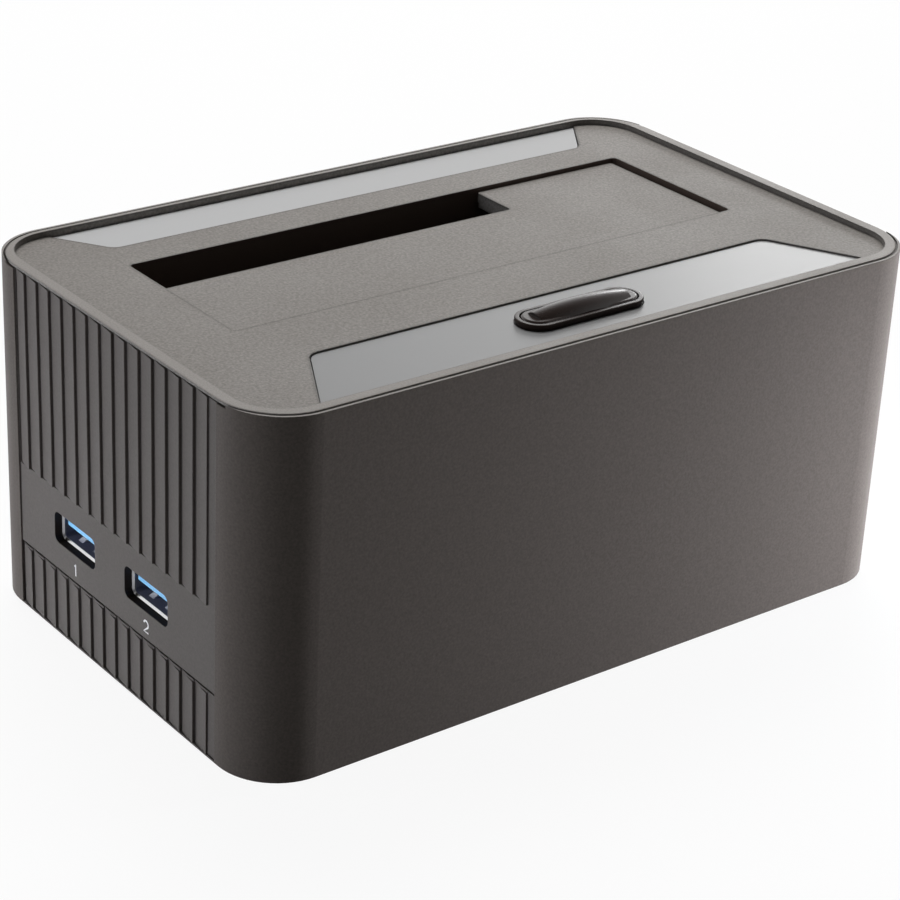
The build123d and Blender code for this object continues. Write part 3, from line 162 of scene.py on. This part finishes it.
def plastic(name, colour, roughness, grain=0.0003, bump=0.00002, variation=0.08, specular=0.5,
            edge=0.00015, painted_shade_width=0.0, rough_variation=0.05, coat=0.0, coat_roughness=0.1):
    """Moulded plastic: fine grain in bump and colour, slow variation in gloss, rounded edges.

    The grain, the bumps, the edges' radius and the width of the painted edge shade along them are
    lengths.
    """
    cloud_size = 0.02
    material, tree, shader = new_material(name)
    fine = noise(tree, grain, detail=3.0, roughness=0.6)
    tint = mix_colours(tree, spread(tree, fine, 0.0, 1.0), scaled(colour, 1 - variation),
                       scaled(colour, 1 + variation))
    # painted shade along sharp edges, darker at seams and steps
    if painted_shade_width > 0:
        tint = paint_edge_shade(tree, tint, colour, painted_shade_width)
    tree.links.new(tint, shader.inputs["Base Color"])
    gloss = roughness
    if rough_variation > 0:
        gloss = spread(tree, noise(tree, cloud_size), roughness - rough_variation,
                       roughness + rough_variation)
    feed(tree, shader.inputs["Roughness"], gloss)
    shader.inputs["Specular IOR Level"].default_value = specular
    if coat > 0:
        shader.inputs["Coat Weight"].default_value = coat
        shader.inputs["Coat Roughness"].default_value = coat_roughness
    add_relief(tree, shader, fine, bump, edge)
    return material


def metal(name, colour, roughness):
    """Plated or drawn metal with faint scratches and cloudy gloss."""
    cloud_size, scratch_size, scratch_depth, edge = 0.003, 0.0004, 0.000004, 0.0001
    dull_shade, smoothest, roughest = 0.93, 0.8, 1.25
    material, tree, shader = new_material(name)
    cloud = noise(tree, cloud_size, detail=4.0)
    fine = noise(tree, scratch_size)
    tint = mix_colours(tree, spread(tree, cloud, 0.0, 1.0), scaled(colour, dull_shade), colour)
    tree.links.new(tint, shader.inputs["Base Color"])
    gloss = spread(tree, fine, roughness * smoothest, roughness * roughest)
    tree.links.new(gloss, shader.inputs["Roughness"])
    shader.inputs["Metallic"].default_value = 1.0
    add_relief(tree, shader, fine, scratch_depth, edge)
    return material


# ---------------------------------------------------------------- materials
# housing and base
shell_material = plastic("shell_satin", (0.100, 0.086, 0.077), 0.42, grain=0.0004, bump=0.00001,
                         variation=0.15, specular=0.06)
side_material = plastic("side_grained", (0.108, 0.097, 0.090), 0.5, grain=0.0004, bump=0.00001,
                        variation=0.10, specular=0.12)
# the ribs' groove walls, painted lighter than the side to lift the shade in the grooves
side_groove_lit_material = plastic("side_groove_walls_lit", (0.135, 0.121, 0.112), 0.5, grain=0.0004,
                               bump=0.00001, variation=0.10, specular=0.12)

# cover and flap
deck_material = plastic("deck_grained", (0.247, 0.230, 0.213), 0.55, grain=0.00045, bump=0.00005,
                        variation=0.25, specular=0.35, edge=0.0002, painted_shade_width=0.0013)
# the rim's top: a lighter copy of the deck plastic, a painted highlight
rim_lit_material = plastic("rim_grained_lit", (0.290, 0.270, 0.251), 0.5, bump=0.00003, variation=0.15,
                       specular=0.4, edge=0.0002, painted_shade_width=0.0004)
# the drive opening's walls: painted shade
recess_shade_material = plastic("recess_walls_shaded", (0.120, 0.088, 0.072), 0.5, specular=0.2)

# inlaid panels
inlay_material = plastic("inlay_silver", (0.248, 0.248, 0.248), 0.32, grain=0.0006, bump=0.000001,
                         variation=0.01, rough_variation=0.0)
# the back inlay: matt, and painted lighter than the front one as a painted sheen
matt_inlay_sheen_material = plastic("inlay_silver_matt_sheen", (0.56, 0.56, 0.56), 0.6, grain=0.0006,
                              bump=0.000001, variation=0.01, specular=0.12, rough_variation=0.0)

# eject button and its ring
BUTTON_BLACK = (0.024, 0.015, 0.012)
button_material = plastic("button_piano_black", BUTTON_BLACK, 0.27, grain=0.001, bump=0.0,
                          variation=0.05, rough_variation=0.0, coat=0.1, coat_roughness=0.12)
ring_side_material = plastic("button_ring_side", BUTTON_BLACK, 0.5, grain=0.001, bump=0.0,
                             variation=0.05, specular=0.15)

# mouldings inside and behind
bay_material = plastic("bay_black", (0.052, 0.037, 0.030), 0.5, grain=0.0004, bump=0.00001,
                       specular=0.3)
# black mouldings, and painted shade in the back of the ports and in the screw crosses
black_and_shade_material = plastic("black_moulding_and_shade", (0.013, 0.007, 0.005), 0.5, grain=0.0004, bump=0.00001,
                         specular=0.4)
guide_material = plastic("natural_moulding", (0.55, 0.54, 0.50), 0.45, grain=0.0006,
                         bump=0.000006, variation=0.03)
rubber_material = plastic("rubber", (0.022, 0.022, 0.022), 0.75, grain=0.0004, specular=0.25)

# boards
board_material = plastic("solder_mask", (0.012, 0.10, 0.045), 0.25, grain=0.0012, bump=0.000004,
                         variation=0.2)
chip_material = plastic("chip_moulding", (0.018, 0.018, 0.019), 0.55, grain=0.0002, bump=0.00001)

# sockets
blue_material = plastic("socket_blue", (0.012, 0.12, 0.45), 0.35, grain=0.0005, bump=0.000003,
                        variation=0.04)
# the tongue's front: a much lighter copy of the socket blue, a painted highlight
lit_blue_front_material = plastic("socket_blue_front_lit", (0.27, 0.62, 1.0), 0.4, grain=0.0005, bump=0.0,
                             variation=0.02)
socket_inner_material = plastic("socket_inner", (0.28, 0.29, 0.36), 0.4, grain=0.0006,
                                bump=0.000002)
latch_material = plastic("socket_latch", (0.75, 0.75, 0.78), 0.3, grain=0.0006, bump=0.0,
                         variation=0.02)

# painted shade in the seam, and printed marks
# the seam strip's colour is painted shade in the gap
seam_shade_material = plastic("seam_shade_strip", (0.125, 0.116, 0.108), 0.6, specular=0.2)
mark_material = plastic("printed_white", (0.80, 0.80, 0.79), 0.5, grain=0.0004, bump=0.0,
                        variation=0.02)

# metals
steel_material = metal("steel_wire", (0.62, 0.61, 0.60), 0.28)
screw_material = metal("zinc_screw", (0.42, 0.42, 0.44), 0.35)
socket_material = metal("socket_nickel", (0.78, 0.79, 0.80), 0.18)
# the socket's flanks: rougher, and painted darker than the shell as shade
socket_flank_shade_material = metal("socket_nickel_dull_shaded", (0.36, 0.36, 0.38), 0.4)
gold_material = metal("contact_gold", (0.86, 0.62, 0.24), 0.22)
can_material = metal("can_aluminium", (0.78, 0.78, 0.78), 0.30)


# ---------------------------------------------------------------- which node wears what
def dress(material, *names):
    """Gives whole nodes a material and smooth faces, with edges kept where they turn sharply."""
    sharp_angle = 0.6  # radians
    for name in names:
        mesh = nodes[name].data
        mesh.materials.clear()
        mesh.materials.append(material)
        mesh.shade_smooth()
        mesh.set_sharp_from_angle(angle=sharp_angle)


dress(shell_material, "housing_shell", "base_cover")
dress(deck_material, "top_cover", "bay_flap")
dress(inlay_material, "front_inlay")
dress(matt_inlay_sheen_material, "back_inlay")
dress(button_material, "button_bezel", "eject_button")
dress(bay_material, "drive_bay")
dress(black_and_shade_material, "sata_connector", "switch_body", "dc_jack", "power_rocker", "board_link")
dress(guide_material, "button_plunger", "spring_retainer", "eject_lever")
dress(steel_material, "flap_pin", "lever_pin", "flap_spring_left", "flap_spring_right",
      "button_spring")
dress(screw_material, "case_screws", "board_screws")
dress(socket_material, "usb_shell_1", "usb_shell_2", "host_shell", "dc_jack_pin")
dress(blue_material, "usb_core_1", "usb_core_2", "host_core")
dress(gold_material, "usb_contacts_1", "usb_contacts_2", "sata_contacts")
dress(board_material, "main_board", "side_board")
dress(chip_material, "board_chips", "board_inductors")
dress(can_material, "board_capacitors")
dress(rubber_material, "foot_front_left", "foot_front_right", "foot_back_left", "foot_back_right")
bpy.context.view_layer.update()


# ---------------------------------------------------------------- faces of another material
def paint(name, material, chosen):
    """Gives a node's faces another material where chosen(centre, normal) is true.

    Both are in the frame's coordinates.
    """
    node = nodes[name]
    mesh = node.data
    mesh.materials.append(material)
    turn = node.matrix_world.to_3x3()
    for polygon in mesh.polygons:
        if chosen(node.matrix_world @ polygon.center, turn @ polygon.normal):
            polygon.material_index = len(mesh.materials) - 1


def inside(point, low, high, margin):
    """Whether a point lies in a box grown by a margin."""
    return all(a - margin <= value <= b + margin for value, a, b in zip(point, low, high))


# the side zones between the round corners, which the ribs stand on
half_length = cad_box[1][0]
corner_end = 11.9 * MM
zone_half = cad_box[1][1] - corner_end
zone_recess = 0.3 * MM
side_depth = 0.5 * MM
zone_x = half_length - zone_recess - side_depth
groove_wall_turn = 0.5


def on_side(point, normal):
    return abs(point.x) > zone_x and abs(point.y) < zone_half


def on_groove_wall(point, normal):
    return on_side(point, normal) and abs(normal.y) > groove_wall_turn


for name in ("housing_shell", "base_cover"):
    paint(name, side_material, on_side)
    paint(name, side_groove_lit_material, on_groove_wall)

# the rim's top and the housing's lip round it, painted lighter than the deck as a painted highlight
rim_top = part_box("top_cover")[1][2]
rim_depth = 0.5 * MM
least_rise = 0.6


def on_rim(point, normal):
    return normal.z > least_rise and point.z > rim_top - rim_depth


paint("top_cover", rim_lit_material, on_rim)
paint("housing_shell", rim_lit_material, on_rim)


# the ring round the button shines on top only
ring_top_rise = 0.85


def ring_side(point, normal):
    return normal.z < ring_top_rise


paint("button_bezel", ring_side_material, ring_side)

# painted shade on the walls of the drive opening, darker than the deck
flap_low, flap_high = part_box("bay_flap")
opening_margin = 1.2 * MM
most_rise = 0.5


def opening_wall(point, normal):
    return abs(normal.z) < most_rise and inside(point, flap_low, flap_high, opening_margin)


paint("top_cover", recess_shade_material, opening_wall)


def side_port(number):
    """The lowest corner, highest corner and middle of a side port's metal shell."""
    low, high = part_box(f"usb_shell_{number}")
    return low, high, (Vector(low) + Vector(high)) / 2


def paint_side_port(number):
    """A dark cut-out round a port, duller flanks painted darker as shade, grey inside, the core's
    back painted black as shade, and a pale front on the tongue as a painted highlight.
    """
    cut_margin, cut_turn = 1.6 * MM, 0.5
    flank_depth, flank_turn = 0.4 * MM, 0.35
    latch_low, latch_high, latch_half, latch_depth = 0.4 * MM, 1.5 * MM, 4.2 * MM, 1.0 * MM
    tongue_depth, front_turn = 2 * MM, 0.9
    core_block_depth = 4 * MM
    low, high, middle = side_port(number)

    def cut_out(point, normal):
        return abs(normal.x) < cut_turn and inside(point, low, high, cut_margin)

    def flank(point, normal):
        return point.x < low[0] + flank_depth and abs(normal.y) > flank_turn

    def lining(point, normal):
        return point.x > low[0] + flank_depth and normal.dot(middle - point) > 0

    def latch(point, normal):
        return (latch_low < point.z - low[2] < latch_high and abs(point.y - middle.y) < latch_half
                and point.x > low[0] + latch_depth)

    def tongue_front(point, normal):
        return normal.x < -front_turn and point.x < low[0] + tongue_depth

    # the back of the core, painted black as shade deep in the port
    def core_block(point, normal):
        return point.x > high[0] - core_block_depth

    paint("housing_shell", black_and_shade_material, cut_out)
    paint(f"usb_shell_{number}", socket_flank_shade_material, flank)
    paint(f"usb_shell_{number}", socket_inner_material, lining)
    paint(f"usb_shell_{number}", latch_material, latch)
    paint(f"usb_core_{number}", lit_blue_front_material, tongue_front)
    paint(f"usb_core_{number}", black_and_shade_material, core_block)


for number in (1, 2):
    paint_side_port(number)


# ---------------------------------------------------------------- marks and trim
def add_piece(name, points, faces, material, body):
    """A new piece from points in the frame's coordinates, which rides on a body."""
    mesh = bpy.data.meshes.new(name)
    mesh.from_pydata([tuple(point) for point in points], [], faces)
    mesh.materials.append(material)
    piece = bpy.data.objects.new(name, mesh)
    bpy.context.scene.collection.objects.link(piece)
    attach(piece, body)


def stroke(path, width, closed=False):
    """A flat band of even width along a path of (u, v) points, as points and faces."""
    count = len(path)
    points = []
    for index, (u, v) in enumerate(path):
        before = path[index - 1] if closed or index > 0 else path[index]
        after = path[(index + 1) % count] if closed or index < count - 1 else path[index]
        along = Vector((after[0] - before[0], after[1] - before[1])).normalized()
        side = Vector((-along.y, along.x)) * width / 2
        points += [(u + side.x, v + side.y), (u - side.x, v - side.y)]
    faces = [(2 * i, 2 * i + 1, 2 * i + 3, 2 * i + 2) for i in range(count - 1)]
    if closed:
        faces.append((2 * count - 2, 2 * count - 1, 1, 0))
    return points, faces


def arc(middle, radius, start, end, steps=12):
    """Points on an arc, with angles in degrees."""
    angles = [radians(start + (end - start) * step / steps) for step in range(steps + 1)]
    return [(middle[0] + radius * cos(angle), middle[1] + radius * sin(angle)) for angle in angles]


def print_mark(name, strokes, origin, across, upward, material, body):
    """Strokes laid on a plane through origin, given as (path, width, closed)."""
    points, faces = [], []
    for path, width, closed in strokes:
        flat, quads = stroke(path, width, closed)
        faces += [tuple(corner + len(points) for corner in quad) for quad in quads]
        points += [origin + u * across + v * upward for u, v in flat]
    add_piece(name, points, faces, material, body)


# how far a mark stands off the face that carries it
mark_lift = 0.02 * MM


def print_port_numerals():
    """Plain numerals under the side ports."""
    height, width, drop = 2.2 * MM, 0.34 * MM, 5.5 * MM
    top, bottom = height / 2, -height / 2
    bowl, bowl_start, bowl_end = 0.3 * height, 165, -35
    stem = 0.25 * bowl
    flag = (-0.35 * bowl, 0.28 * height)
    foot, foot_reach = bottom + width / 2, 1.1 * bowl
    one = [flag, (stem, top), (stem, bottom)]
    two = arc((0, top - bowl), bowl, bowl_start, bowl_end) + [(-bowl, foot), (foot_reach, foot)]
    for number, path in ((1, one), (2, two)):
        middle = side_port(number)[2]
        origin = Vector((-half_length + zone_recess - mark_lift, middle.y, middle.z - drop))
        print_mark(f"port_numeral_{number}", [(path, width, False)], origin, -BACKWARD, UPWARD,
                   mark_material, "case")


def lay_seam_shade_strips():
    """Painted shade: a thin dark strip in the seam between cover and housing, round the front and
    the back.
    """
    inset, width, depth = 0.675 * MM, 0.31 * MM, 0.24 * MM
    corner_radius = 10.8 * MM
    corner_x, corner_y = cad_box[1][0] - corner_radius, cad_box[1][1] - corner_radius
    turn = corner_radius - inset
    end_x = half_length - inset
    front = ([(-end_x, -zone_half)] + arc((-corner_x, -corner_y), turn, 180, 270)
             + arc((corner_x, -corner_y), turn, 270, 360) + [(end_x, -zone_half)])
    back = [(u, -v) for u, v in reversed(front)]
    origin = Vector((0, 0, rim_top - depth))
    for side_name, path in (("front", front), ("back", back)):
        print_mark(f"seam_shade_strip_{side_name}", [(path, width, False)], origin, ACROSS, BACKWARD,
                   seam_shade_material, "case")


def outward_faces(name, direction):
    """The centre and normal of the two largest flat groups of faces that look along a direction."""
    least_dot = 0.8
    node = nodes[name]
    turn = node.matrix_world.to_3x3()
    groups = {}
    for polygon in node.data.polygons:
        normal = turn @ polygon.normal
        if normal.dot(direction) < least_dot:
            continue
        key = tuple(round(value, 2) for value in normal)
        area, centre, _ = groups.get(key, (0.0, Vector((0, 0, 0)), normal))
        spot = node.matrix_world @ polygon.center
        groups[key] = (area + polygon.area, centre + polygon.area * spot, normal)
    largest = sorted(groups.values(), key=lambda group: -group[0])[:2]
    return [(centre / area, normal) for area, centre, normal in largest]


def print_rocker_marks():
    """The on and off marks on the power rocker, which ride on it."""
    bar_half, bar_width = 0.9 * MM, 0.4 * MM
    ring_radius, ring_width, ring_corners = 0.85 * MM, 0.35 * MM, 24
    last_corner = 360 - 360 / ring_corners
    bar = [([(0, -bar_half), (0, bar_half)], bar_width, False)]
    ring = [(arc((0, 0), ring_radius, 0, last_corner, ring_corners - 1), ring_width, True)]
    faces = sorted(outward_faces("power_rocker", BACKWARD), key=lambda face: face[0].x)
    marks = (("rocker_off", ring), ("rocker_on", bar))
    for (mark_name, strokes), (centre, normal) in zip(marks, faces):
        across = UPWARD.cross(normal).normalized()
        print_mark(mark_name, strokes, centre + mark_lift * normal, across, UPWARD,
                   mark_material, "rocker")


def paint_screw_cross_shade():
    """Painted shade: flat dark crosses for the recesses in the heads of the case screws."""
    head_radius, reach, width = 2.6 * MM, 1.3 * MM, 0.5 * MM
    cross = [([(-reach, 0), (reach, 0)], width, False), ([(0, -reach), (0, reach)], width, False)]
    low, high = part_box("case_screws")
    for column, x in enumerate((low[0] + head_radius, high[0] - head_radius), start=1):
        for row, y in enumerate((low[1] + head_radius, high[1] - head_radius), start=1):
            print_mark(f"screw_cross_shade_{column}_{row}", cross, Vector((x, y, low[2] - mark_lift)),
                       ACROSS, -BACKWARD, black_and_shade_material, "case")


def edge_rib_feet():
    """A thin straight edge along the foot of the ribs on both sides."""
    height, depth = 0.3 * MM, 0.6 * MM
    low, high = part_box("base_cover")
    faces = [(0, 1, 3, 2), (4, 6, 7, 5), (0, 4, 5, 1), (2, 3, 7, 6), (0, 2, 6, 4), (1, 5, 7, 3)]
    for side_name, side in (("left", -1), ("right", 1)):
        points = [(x, y, z) for x in (side * high[0], side * (high[0] - depth))
                  for y in (-zone_half, zone_half) for z in (low[2], low[2] + height)]
        add_piece(f"rib_foot_{side_name}", points, faces, side_material, "case")


print_port_numerals()
lay_seam_shade_strips()
print_rocker_marks()
paint_screw_cross_shade()
edge_rib_feet()


# ---------------------------------------------------------------- floor and backdrop
def lay_floor():
    """A floor that is white where it is seen, with a part of its own shadow kept."""
    reach, roughness = 3.0, 0.9
    seen_shade, unseen_shade, share_of_white = (0.9, 0.9, 0.9), (0.25, 0.25, 0.25), 0.92
    mesh = bpy.data.meshes.new("floor")
    corners = [(-reach, -reach, 0), (reach, -reach, 0), (reach, reach, 0), (-reach, reach, 0)]
    mesh.from_pydata(corners, [], [(0, 1, 2, 3)])
    floor = bpy.data.objects.new("floor", mesh)
    bpy.context.scene.collection.objects.link(floor)

    material, tree, shader = new_material("floor_pale")
    shader.inputs["Roughness"].default_value = roughness
    # seen by the camera, in gloss and through glass; what is unseen throws less light on the sides
    rays = tree.nodes.new("ShaderNodeLightPath").outputs
    seen = math_node(tree, "MAXIMUM", rays["Is Camera Ray"], rays["Is Glossy Ray"])
    seen = math_node(tree, "MAXIMUM", seen, rays["Is Transmission Ray"])
    tint = mix_colours(tree, seen, unseen_shade, seen_shade)
    tree.links.new(tint, shader.inputs["Base Color"])
    white = tree.nodes.new("ShaderNodeEmission")
    white.inputs["Color"].default_value = (*WHITE, 1.0)
    white.inputs["Strength"].default_value = 1.0
    mix = tree.nodes.new("ShaderNodeMixShader")
    tree.links.new(math_node(tree, "MULTIPLY", seen, share_of_white), mix.inputs["Fac"])
    tree.links.new(shader.outputs["BSDF"], mix.inputs[1])
    tree.links.new(white.outputs["Emission"], mix.inputs[2])
    output = next(node for node in tree.nodes if node.type == "OUTPUT_MATERIAL")
    tree.links.new(mix.outputs["Shader"], output.inputs["Surface"])
    mesh.materials.append(material)


def light_world():
    """White to the camera, even and faint on the object, and a studio backdrop in its gloss."""
    ambient = 0.03
    toward_front = (-0.62, -0.785)
    overhead_share, front_share = 0.10, 0.2
    high_start, high_end = 0.40, 0.92
    front_start, front_end = -0.3, 0.5
    world = bpy.data.worlds.new("studio")
    bpy.context.scene.world = world
    world.use_nodes = True
    tree = world.node_tree
    tree.nodes.clear()
    output = tree.nodes.new("ShaderNodeOutputWorld")
    background = tree.nodes.new("ShaderNodeBackground")
    background.inputs["Color"].default_value = (*WHITE, 1.0)
    # the backdrop is white behind and beside the object and dimmer above and in front
    direction = tree.nodes.new("ShaderNodeSeparateXYZ")
    place = tree.nodes.new("ShaderNodeTexCoord")
    tree.links.new(place.outputs["Generated"], direction.inputs["Vector"])
    facing = math_node(tree, "ADD",
                       math_node(tree, "MULTIPLY", direction.outputs["X"], toward_front[0]),
                       math_node(tree, "MULTIPLY", direction.outputs["Y"], toward_front[1]))
    high_part = ramp(tree, direction.outputs["Z"], high_start, high_end, 1.0, overhead_share,
                     "SMOOTHSTEP")
    front_part = ramp(tree, facing, front_start, front_end, 1.0, front_share, "SMOOTHSTEP")
    backdrop = math_node(tree, "MULTIPLY", high_part, front_part)
    rays = tree.nodes.new("ShaderNodeLightPath").outputs
    in_gloss = math_node(tree, "MAXIMUM", rays["Is Glossy Ray"], rays["Is Transmission Ray"])
    elsewhere = math_node(tree, "SUBTRACT", 1.0, in_gloss)
    strength = math_node(tree, "ADD", math_node(tree, "MULTIPLY", in_gloss, backdrop),
                         math_node(tree, "MULTIPLY", elsewhere, ambient))
    strength = math_node(tree, "MAXIMUM", strength, rays["Is Camera Ray"])
    tree.links.new(strength, background.inputs["Strength"])
    tree.links.new(background.outputs["Background"], output.inputs["Surface"])


lay_floor()
light_world()


# ---------------------------------------------------------------- lamps
def area_lamp(name, azimuth, height, distance, size, energy, aim=(0, 0, 0.03), in_gloss=False,
              colour=WHITE):
    """A square panel that faces the aim; bearing 0 is +X, 90 is +Y, and height is in degrees."""
    lamp = bpy.data.lights.new(name, "AREA")
    lamp.energy = energy
    lamp.color = colour
    lamp.shape = "SQUARE"
    lamp.size = size
    holder = bpy.data.objects.new(name, lamp)
    bpy.context.scene.collection.objects.link(holder)
    flat = cos(radians(height))
    away = Vector((flat * cos(radians(azimuth)), flat * sin(radians(azimuth)),
                   sin(radians(height))))
    holder.location = Vector(aim) + distance * away
    holder.rotation_euler = away.to_track_quat("Z", "Y").to_euler()
    holder.visible_glossy = in_gloss


COOL = (0.96, 1.0, 1.08)
front_y = cad_box[0][1]
area_lamp("lamp_key", azimuth=60, height=60, distance=1.0, size=0.6, energy=9.0)
area_lamp("lamp_left", azimuth=165, height=15, distance=0.9, size=0.5, energy=1.5, colour=COOL)
area_lamp("lamp_left_low", azimuth=155, height=0, distance=0.13, size=0.05, energy=0.19,
          aim=(-half_length, 0, 0.005), colour=COOL)
# three panels behind the object, which also show in its gloss
area_lamp("lamp_back_middle", azimuth=50, height=10, distance=1.0, size=0.25, energy=0.2,
          in_gloss=True)
area_lamp("lamp_back_right", azimuth=38, height=19, distance=1.0, size=0.2, energy=0.78,
          in_gloss=True)
area_lamp("lamp_back_strip", azimuth=48, height=24, distance=1.0, size=0.2, energy=0.10,
          in_gloss=True)
# two small near lamps lift the front face at its foot and towards its right end
area_lamp("lamp_front_low", azimuth=262, height=0, distance=0.20, size=0.05, energy=0.06,
          aim=(-0.05, front_y, 0.0))
area_lamp("lamp_near_right", azimuth=325, height=0, distance=0.10, size=0.04, energy=0.47,
          aim=(half_length, front_y, 0.018), colour=COOL)


# ---------------------------------------------------------------- camera
def place_camera():
    """The camera as solved from the photograph's corners, given by its own three directions."""
    right = (0.79631963, -0.60327857, 0.04393198)
    down = (-0.23163847, -0.37123981, -0.89917997)
    forward = (0.55876531, 0.70585832, -0.43536807)
    place = (-252.644 * MM, -318.821 * MM, 221.598 * MM)
    data = bpy.data.cameras.new("camera")
    data.sensor_fit = "HORIZONTAL"
    data.sensor_width = 36.0
    data.lens = 104.304
    data.clip_start = 0.01
    data.clip_end = 20.0
    camera = bpy.data.objects.new("camera", data)
    bpy.context.scene.collection.objects.link(camera)
    rows = [(right[axis], -down[axis], -forward[axis], place[axis]) for axis in range(3)]
    camera.matrix_world = Matrix(rows + [(0.0, 0.0, 0.0, 1.0)])
    bpy.context.scene.camera = camera


place_camera()
bpy.context.scene.view_settings.view_transform = "Standard"
